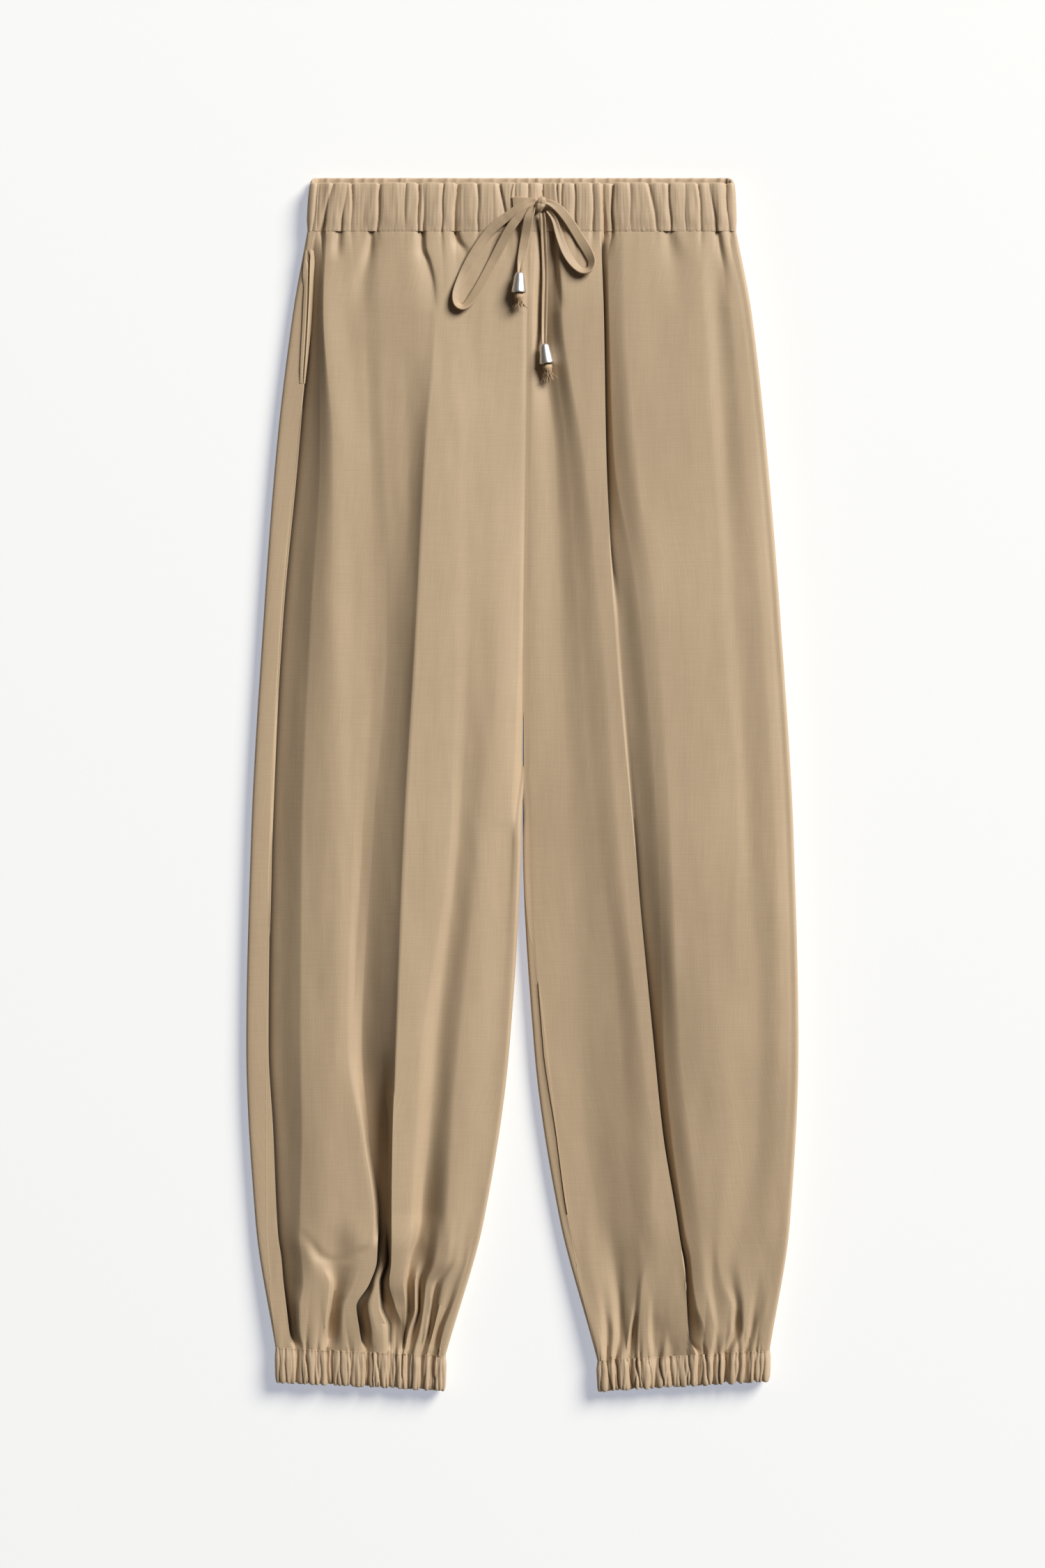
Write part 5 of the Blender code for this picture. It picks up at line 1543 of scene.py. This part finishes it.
def tape(name, rows):
    """A flat tape along its rows, and the line down its middle in metres."""
    run = through(rows, TAPE_STEP)
    rests = rest_heights(run)
    centres = []
    outlines = []
    for p, rest in zip(run, rests):
        thick = TAPE_WALL + 0.3 * max(0.0, TAPE_WIDTH - p.width) ** 1.1
        roll = math.radians(p.roll)
        stands = abs(p.width / 2 * math.sin(roll)) + thick / 2 * math.cos(roll)
        centres.append(spot(p.x, p.drop, rest + stands))
        outlines.append(tape_outline(p.width, thick))
    centres = np.array(centres)
    along_it = np.gradient(centres, axis=0)
    along_it /= np.linalg.norm(along_it, axis=1)[:, None]
    sides = []
    ups = []
    for t, p in zip(along_it, run):
        side = np.cross(t, (0.0, 0.0, 1.0))
        side /= np.linalg.norm(side)
        up = np.cross(side, t)
        roll = math.radians(p.roll)
        sides.append(side * math.cos(roll) + up * math.sin(roll))
        ups.append(up * math.cos(roll) - side * math.sin(roll))
    made = tube(name, centres, sides, ups, outlines, TAPE_CLOTH)
    return made, [tuple(c * MM) for c in centres]


# The bow's knot: where it lies, its size, and how far it turns.
KNOT_CENTRE = (15.2, 24.5)
KNOT_SIZE = (8.0, 13.4, 7.4)
KNOT_TURN = 24.0
KNOT_CLEAR = 0.3
KNOT_RINGS = 34
# Along the knot from its upper to its lower end: share of half its length and of its width.
KNOT_BODY = ((-1.0, 0.0), (-0.97, 0.3), (-0.86, 0.62), (-0.66, 0.84), (-0.4, 0.96), (-0.1, 1.0), (0.2, 0.97),
             (0.45, 0.88), (0.68, 0.74), (0.86, 0.54), (0.97, 0.28), (1, 0))
KNOT_SIDES = 48


def bow_knot():
    """The wrapped knot: a tape drawn tight round the bow, with slanting folds."""
    x, drop = KNOT_CENTRE
    width, length, thick = KNOT_SIZE
    ends = (-0.5, 0.0, 0.5)
    below = max(SURFACE.height(x + width * a, drop + length * b) for a in ends for b in ends)
    centre = spot(x, drop, below + KNOT_CLEAR + thick / 2)
    turn = math.radians(KNOT_TURN)
    down = np.array((-math.sin(turn), -math.cos(turn), 0.0))
    side = np.array((math.cos(turn), -math.sin(turn), 0.0))
    stops = [row[0] for row in KNOT_BODY]
    shares = [row[1] for row in KNOT_BODY]
    centres = []
    outlines = []
    for r in range(KNOT_RINGS):
        t = -math.cos(math.pi * r / (KNOT_RINGS - 1))
        share = max(0.02, float(curve(stops, shares, t)))
        outline = []
        for k in range(KNOT_SIDES):
            angle = 2 * math.pi * k / KNOT_SIDES
            fold = math.sin(3.0 * angle + 5.0 * t) + 0.6 * math.sin(7.0 * angle - 4.0 * t + 1.0)
            swell = 1.0 + 0.055 * fold - 0.10 * math.exp(-((t - 0.12 * math.cos(angle)) / 0.09) ** 2)
            a, b = (math.copysign(abs(v) ** 0.8, v) * size / 2 * share * swell
                    for v, size in ((math.cos(angle), width), (math.sin(angle), thick)))
            outline.append((a, b))
        centres.append(centre + down * t * length / 2)
        outlines.append(outline[::-1])
    ups = [UP] * KNOT_RINGS
    return tube("bow_wrap", np.array(centres), [-side] * KNOT_RINGS, ups, outlines, TAPE_CLOTH)


# Metal cord ends: distance down the axis and radius, outside and back up inside.
END_PROFILE = ((0.0, 1.9), (0.25, 2.4), (0.7, 3.1), (1.6, 3.55), (3.0, 4.0), (5.5, 4.4), (8.0, 4.8),
               (10.5, 5.2), (13, 5.6), (14.6, 5.85), (15.6, 5.95), (16.2, 5.9), (16.5, 5.6),
               (16.3, 5.2), (15.6, 5), (13, 4.7), (8, 3.9), (3, 3.1), (1.2, 2.3), (0.5, 1.7))
END_OUTSIDE = 13
END_SIDES = 48
# Each end: its top's place, how far it runs across, how its knot leans, that knot's
# radius and the length of its tuft.
CordEnd = namedtuple("CordEnd", "name x drop run lean radius tuft")
CORD_ENDS = (
    CordEnd("short", -2.1, 80.9, -0.7, 0.084, 5.0, 9.0),
    CordEnd("long", 18.3, 138.9, 2.0, 0.036, 5.4, 12.0),
)
# How long a cord end is, how far the knot below it reaches, how far down it starts, and
# the distances down its axis and radii.
END_LENGTH = 16.4
KNOT_REACH = 8.0
KNOT_DOWN = 15.7
KNOT_PROFILE = ((0.0, 0.3), (0.2, 1.6), (1.2, 2.9), (2.6, 3.7), (4.0, 4.0), (5.4, 3.7), (6.8, 3.0),
                (7.8, 2.4), (8.4, 1.5), (8.6, 0.2))
FRAY_SIDES = 30
# The loose yarns out of a frayed knot: how many, with how many steps and sides.
STRANDS = 44
STRAND_STEPS = 7
STRAND_SIDES = 5


def ring_faces(rings, sides, first=0, closed=False):
    """Faces between rings of points; a closed run joins its last ring to its first."""
    faces = []
    for r in range(rings if closed else rings - 1):
        a = first + r * sides
        b = first + (r + 1) % rings * sides
        for k in range(sides):
            j = (k + 1) % sides
            faces.append((a + k, b + k, b + j, a + j))
    return faces


def caps(first, last, sides):
    """The faces that close the first and the last ring of a run."""
    return [tuple(range(first, first + sides)), tuple(range(last, last + sides))[::-1]]


def cord_end(end):
    """The bell, and the knot of frayed tape below it."""
    reach = math.hypot(end.run, END_LENGTH)
    down = np.array((end.run / reach, -END_LENGTH / reach, 0.0))
    side = np.array((down[1], -down[0], 0.0))
    z = 0.0
    for away, radius in END_PROFILE[:END_OUTSIDE] + ((END_LENGTH + KNOT_REACH, end.radius),):
        for share in (-0.95, -0.5, 0.0, 0.5, 0.95):
            place = SURFACE.height(end.x + down[0] * away + share * radius, end.drop - down[1] * away)
            z = max(z, place + 0.25 + radius * math.sqrt(1.0 - share * share))
    top = spot(end.x, end.drop, z)
    bell = turned("bell_" + end.name, top, down, side, END_PROFILE)
    dice = random.Random(3 if end.name == "short" else 8)
    points = []
    head = top + down * KNOT_DOWN
    lean = down + np.array((end.lean, 0.0, 0.0))
    lean /= np.linalg.norm(lean)
    across = np.array((lean[1], -lean[0], 0.0))
    for away, radius in KNOT_PROFILE:
        for k in range(FRAY_SIDES):
            angle = 2 * math.pi * k / FRAY_SIDES
            lump = 1.0 + 0.09 * math.sin(4 * angle + away * 0.9) + 0.05 * math.sin(9 * angle - away * 1.7)
            out = across * math.cos(angle) + UP * math.sin(angle)
            points.append(head + lean * away + out * radius * lump)
    faces = ring_faces(len(KNOT_PROFILE), FRAY_SIDES)
    faces += caps(0, (len(KNOT_PROFILE) - 1) * FRAY_SIDES, FRAY_SIDES)
    for _ in range(STRANDS):
        add_strand(points, faces, head, lean, across, end, dice)
    made = add_mesh("frayed_" + end.name, [tuple(p * MM) for p in points], faces,
                    [(0.0, 0.0)] * sum(len(f) for f in faces), YARN)
    return bell, made, top


def add_strand(points, faces, head, lean, across, end, dice):
    """One loose yarn out of the knot, curling down on to the cloth."""
    angle = dice.uniform(0.0, 2 * math.pi)
    radius = dice.uniform(0.4, 3.2)
    out = across * math.cos(angle) + UP * math.sin(angle)
    place = head + lean * dice.uniform(6.0, 8.6) + out * radius
    way = lean + across * dice.gauss(0.0, 0.38) + UP * dice.gauss(-0.05, 0.2)
    bend = across * dice.gauss(0.0, 0.55) + UP * dice.gauss(-0.1, 0.2)
    long = dice.uniform(0.45, 1.0) * (end.tuft * 0.8)
    first = len(points)
    width = dice.uniform(0.22, 0.42)
    for i in range(STRAND_STEPS + 1):
        t = i / STRAND_STEPS
        centre = place + way * (long * t) + bend * (long * t * t * 0.45)
        floor = SURFACE.height(centre[0], LENGTH / 2 - centre[1]) + width
        centre[2] = max(centre[2], floor)
        for k in range(STRAND_SIDES):
            turn = 2 * math.pi * k / STRAND_SIDES
            out = across * math.cos(turn) + UP * math.sin(turn)
            points.append(centre + out * width * (1.0 - 0.55 * t))
    faces += ring_faces(STRAND_STEPS + 1, STRAND_SIDES, first)
    faces += caps(first, first + STRAND_STEPS * STRAND_SIDES, STRAND_SIDES)


def turned(name, top, down, side, profile):
    """A turned bell whose profile runs down outside and up inside, closed on itself."""
    points = []
    for away, radius in profile:
        for k in range(END_SIDES):
            angle = 2 * math.pi * k / END_SIDES
            out = side * math.cos(angle) + UP * math.sin(angle)
            points.append(tuple((top + down * away + out * radius) * MM))
    faces = ring_faces(len(profile), END_SIDES, closed=True)
    return add_mesh(name, points, faces, [(0.0, 0.0)] * (4 * len(faces)), METAL, sharp=40.0)


def cords():
    """The bow: each stretch of the drawstring that lies free is a cord of its own."""
    ends = {end.name: cord_end(end) for end in CORD_ENDS}
    wrap = dress(bow_knot(), "bow_knot", "tape")
    stub = dress(tape("string_out", STUB)[0], "string_stub", "tape")
    for name, node, rows, others in (("bow_tape_right", "bow_loop_right", LOOP_RIGHT, (wrap, stub)),
                                     ("bow_tape_left", "bow_loop_left", LOOP_LEFT, ())):
        made, line = tape(name, rows)
        dress(made, node, "tape")
        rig.cord(made, line[0], line_length(line), TAPE_WIDTH * MM, "object", "limp", "loose", path=line,
                with_pieces=others)
    for name, node, rows in (("short", "tail_short", TAIL_SHORT), ("long", "tail_long", TAIL_LONG)):
        bell, fray, top = ends[name]
        dress(bell, "cord_end_" + name, "metal")
        dress(fray, "end_knot_" + name, "fray")
        made, line = tape("tail_tape_" + name, rows)
        dress(made, node, "tape")
        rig.cord(made, line[0], line_length(line), max(p.width for p in rows) * MM, "knot", "limp", "loose",
                path=line, with_pieces=(bell, fray))


def line_length(line):
    return float(np.linalg.norm(np.diff(np.array(line), axis=0), axis=1).sum())


cords()

# The slash of the side pocket, and the two lips beside it: name, side, the width of the
# lip at each drop, and how thick it is.
POCKET_DROPS = (61.5, 75.0, 92.0, 110.0, 130.0, 150.0, 171.0)
LIP_SIDE = 0.5
LIP_CLEAR = 0.15
LIP_ROWS = 64
LIP_POINTS = 9
LIPS = (
    ("pocket_lip_back", -1.0, (2.6, 3.2, 3.4, 3.6, 3.6, 3.4, 2.4), 0.8),
    ("pocket_lip_front", 1.0, (3.2, 4.4, 4.4, 3.8, 3.0, 2.2, 1.2), 1.1),
)


def pocket_lips():
    """Two folded strips beside the pocket's slash, each rounded over its free edge."""
    made = []
    for name, sign, widths, wall in LIPS:
        centres = []
        outlines = []
        for drop in np.linspace(POCKET_DROPS[0], POCKET_DROPS[-1], LIP_ROWS):
            seam = float(RIGHT.seams(np.array([[drop]]))[0][0, 0])
            width = float(curve(POCKET_DROPS, widths, drop))
            ends = min(1.0, (drop - POCKET_DROPS[0]) / 4.0, (POCKET_DROPS[-1] - drop) / 10.0)
            edge_high = wall * math.sqrt(max(0.03, ends))
            shares = np.linspace(0.0, 1.0, LIP_POINTS)
            q = seam + sign * (LIP_SIDE + width * shares)
            level = np.full((1, LIP_POINTS), drop)
            base_x, base_z = (v[0] for v in over(RIGHT, q[None, :], level))
            detail = front_detail(RIGHT, q[None, :], level)[0] * smooth((q - seam) / EDGE_EASE)
            low_z = base_z + np.maximum(detail, 0.0) + LIP_CLEAR
            thick = edge_high * np.sqrt(np.clip(1.0 - np.abs(2 * shares - 1) ** 6, 0.0, 1.0))
            top = [(x, z + t) for x, z, t in zip(base_x, low_z, thick)]
            bottom = [(x, z - 0.02 * (1 - abs(2 * s - 1))) for x, z, s in zip(base_x, low_z, shares)][::-1]
            outline = top + bottom[1:-1]
            if sign < 0:
                outline = outline[::-1]
            centres.append(np.array((0.0, LENGTH / 2 - drop, 0.0)))
            outlines.append(outline)
        sides = [np.array((1.0, 0.0, 0.0))] * len(centres)
        ups = [UP] * len(centres)
        piece = tube(name + "_cloth", np.array(centres), sides, ups, outlines, CLOTH)
        made.append(dress(piece, name, "cloth"))
    return made


lips = pocket_lips()

# What the casings were cut to before the elastic drew them up: round, and what shows down.
CASING_CUTS = {"waistband_cloth": (1.0, 0.0397), "cuff_cloth_right": (0.4, 0.0293),
               "cuff_cloth_left": (0.4, 0.026)}


def declare_cloth():
    """The cut of each piece of cloth, as far as it shows."""
    lips_on = {"back_cloth_right": lips[:1], "front_cloth_right": lips[1:]}
    for piece in laid:
        if piece.name in CASING_CUTS:
            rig.sheet(piece, flat=CASING_CUTS[piece.name], held="gathered")
            continue
        places = np.zeros(2 * len(piece.data.loops))
        piece.data.uv_layers["cut"].data.foreach_get("uv", places)
        area = sum(face.area for face in piece.data.polygons) / 2
        below = ["back_cloth_" + piece.name.split("_")[-1]] if piece.name.startswith("front") else []
        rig.sheet(piece, flat=(float(places[::2].max()), (CUFF_SEAM - WAIST_SEAM) * MM), held="laid",
                 rests_on=below, area=area, with_pieces=lips_on.get(piece.name, ()))


declare_cloth()


def stitch_tree():
    """Stitches along lines: small rounded threads, a spacing apart, laid along or across."""
    tree = bpy.data.node_groups.new("stitch_row", "GeometryNodeTree")
    named = {}
    for name, kind in (("Line", "NodeSocketGeometry"), ("Spacing", "NodeSocketFloat"),
                       ("Thread size", "NodeSocketVector"), ("Seed", "NodeSocketInt"),
                       ("Thread", "NodeSocketMaterial")):
        named[name] = tree.interface.new_socket(name=name, in_out="INPUT", socket_type=kind).identifier
    tree.interface.new_socket(name="Stitches", in_out="OUTPUT", socket_type="NodeSocketGeometry")
    start = add_node(tree, "NodeGroupInput")
    line = add_node(tree, "GeometryNodeMeshToCurve", None, {"Mesh": start.out("Line")})
    spread = add_node(tree, "GeometryNodeResampleCurve", {"mode": "LENGTH"},
                      {"Curve": line, "Length": start.out("Spacing")})
    turn = add_node(tree, "FunctionNodeAlignRotationToVector", {"axis": "X"},
                    {"Vector": add_node(tree, "GeometryNodeInputTangent")})
    bead = add_node(tree, "GeometryNodeMeshUVSphere", None, {"Segments": 8, "Rings": 5, "Radius": 1.0})
    change = add_node(tree, "FunctionNodeRandomValue", {"data_type": "FLOAT"},
                      {2: 0.8, 3: 1.15, "Seed": start.out("Seed")})
    size = add_node(tree, "ShaderNodeVectorMath", {"operation": "SCALE"},
                    {0: start.out("Thread size"), "Scale": change})
    placed = add_node(tree, "GeometryNodeInstanceOnPoints", None,
                      {"Points": spread, "Instance": bead, "Rotation": turn, "Scale": size})
    solid = add_node(tree, "GeometryNodeRealizeInstances", None, {"Geometry": placed})
    smoothed = add_node(tree, "GeometryNodeSetShadeSmooth", None, {"Geometry": solid})
    done = add_node(tree, "GeometryNodeSetMaterial", None,
                    {"Geometry": smoothed, "Material": start.out("Thread")})
    add_node(tree, "NodeGroupOutput", None, {"Stitches": done})
    return tree, named


STITCH_TREE, STITCH_INPUTS = stitch_tree()


def stitches(name, lines, spacing, thread_size, thread, seed):
    """Rows of stitches along lines of points in metres, as one plain mesh."""
    points = []
    edges = []
    for line in lines:
        first = len(points)
        points += [tuple(p) for p in line]
        edges += [(first + i, first + i + 1) for i in range(len(line) - 1)]
    mesh = bpy.data.meshes.new(name + "_lines")
    mesh.from_pydata(points, edges, [])
    made = bpy.data.objects.new(name, mesh)
    bpy.context.scene.collection.objects.link(made)
    modifier = made.modifiers.new("stitches", "NODES")
    modifier.node_group = STITCH_TREE
    for key, value in (("Spacing", spacing), ("Thread size", thread_size), ("Seed", seed),
                       ("Thread", thread)):
        modifier[STITCH_INPUTS[key]] = value
    evaluated = made.evaluated_get(bpy.context.evaluated_depsgraph_get())
    result = bpy.data.meshes.new_from_object(evaluated)
    made.modifiers.clear()
    made.data = result
    return made


# Stitches: how far apart, and half a thread's size along, across and up, in metres.
SEAM_STITCH = (0.0026, (0.00085, 0.00024, 0.0002))
BAR_STITCH = (0.00045, (0.00022, 0.0008, 0.00022))
# How far their line lies under the cloth's face, and the step between its points.
STITCH_SUNK = 0.05
STITCH_STEP = 0.8
BAR_STEP = 0.5


def laid_line(places):
    """Points on the cloth's face under places across and drops."""
    return [tuple(spot(x, drop, SURFACE.height(x, drop) - STITCH_SUNK) * MM) for x, drop in places]


def seam_stitches():
    """The row that shows along each casing seam."""
    lines = [laid_line([(x, WAIST_SEAM - 0.7) for x in np.arange(-172.5, 173.0, STITCH_STEP)])]
    for half, first, last in ((RIGHT, -200.5, -66.5), (LEFT, 66.5, 200.5)):
        lines.append(laid_line([(x, float(half.slanted(x, CUFF_SEAM)) + 0.9)
                                for x in np.arange(first, last, STITCH_STEP)]))
    return stitches("casing_stitches", lines, *SEAM_STITCH, SEAM_THREAD, 4)


# Buttonholes: rows of place across and drop that their stitches follow.
BUTTONHOLES = (((-7.4, 7.0), (-8.6, 13.5), (-9.4, 20.0), (-8.9, 27.5)),
               ((16.4, 12), (16.9, 15), (17.2, 18.5)))


def buttonholes():
    lines = [laid_line(places_between(rows, BAR_STEP)) for rows in BUTTONHOLES]
    return stitches("buttonhole_stitches", lines, *BAR_STITCH, BARTACK_THREAD, 9)


def places_between(rows, step):
    """Places about a step apart along straight runs between rows."""
    made = []
    for (ax, ay), (bx, by) in zip(rows, rows[1:]):
        count = max(1, round(math.hypot(bx - ax, by - ay) / step))
        made += [(ax + (bx - ax) * i / count, ay + (by - ay) * i / count) for i in range(count)]
    return made + [rows[-1]]


for piece in (seam_stitches(), buttonholes()):
    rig.ride(piece, "root")
    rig.slot(piece, "casing")


# The studio: the floor's size and how far it lies below; the key light's size, power,
# distance and angles; and the camera, over the photograph's frame, which is FRAME_TALL
# metres from top to bottom where the joggers lie.
FLOOR_SIZE = 6.0
FLOOR_BELOW = 0.0002
KEY_SIZE = 10.5
KEY_POWER = 6750.0
KEY_REACH = 20.0
KEY_AZIMUTH = math.radians(43.0)
KEY_ELEVATION = math.radians(33.0)
LENS = 85.0
SENSOR = 36.0
FRAME_TALL = 1.29375
FOLDS_HIGH = 0.010


def floor_and_light():
    scene = bpy.context.scene
    scene.view_settings.view_transform = "Standard"
    scene.view_settings.look = "None"
    f = Finish("studio_floor")
    material = f.surface({"Base Color": (0.60, 0.585, 0.51, 1.0), "Roughness": 0.9,
                          "Specular IOR Level": 0.1,
                          "Emission Color": (0.80, 0.85, 1.0, 1.0), "Emission Strength": 0.47})
    mesh = bpy.data.meshes.new("floor")
    corners = [(FLOOR_SIZE * x, FLOOR_SIZE * y, -FLOOR_BELOW)
               for x, y in ((-1, -1), (1, -1), (1, 1), (-1, 1))]
    mesh.from_pydata(corners, [], [(0, 1, 2, 3)])
    mesh.materials.append(material)
    floor = bpy.data.objects.new("floor", mesh)
    scene.collection.objects.link(floor)
    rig.stage(floor)

    world = bpy.data.worlds.new("studio")
    world.use_nodes = True
    background = world.node_tree.nodes["Background"]
    background.inputs["Color"].default_value = (1.0, 0.93, 0.84, 1.0)
    background.inputs["Strength"].default_value = 0.07
    scene.world = world

    light = bpy.data.lights.new("key", "AREA")
    light.shape = "DISK"
    light.size = KEY_SIZE
    light.energy = KEY_POWER
    light.color = (1.0, 0.985, 0.96)
    key = bpy.data.objects.new("key", light)
    level = KEY_REACH * math.cos(KEY_ELEVATION)
    key.location = (level * math.cos(KEY_AZIMUTH), level * math.sin(KEY_AZIMUTH),
                    KEY_REACH * math.sin(KEY_ELEVATION))
    key.rotation_mode = "QUATERNION"
    key.rotation_quaternion = Vector(key.location).to_track_quat("Z", "Y")
    scene.collection.objects.link(key)

    lens = bpy.data.cameras.new("above")
    lens.lens = LENS
    lens.sensor_width = SENSOR
    lens.sensor_fit = "AUTO"
    lens.clip_end = 20.0
    camera = bpy.data.objects.new("above", lens)
    camera.location = (0.0003, 0.0001, FOLDS_HIGH + FRAME_TALL * LENS / SENSOR)
    scene.collection.objects.link(camera)
    scene.camera = camera


floor_and_light()

shown_low, shown_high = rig.bounds()
with open("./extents.json", "w") as size_file:
    json.dump({"cad": [list(cad_low), list(cad_high)],
               "visual": [list(shown_low), list(shown_high)]}, size_file)
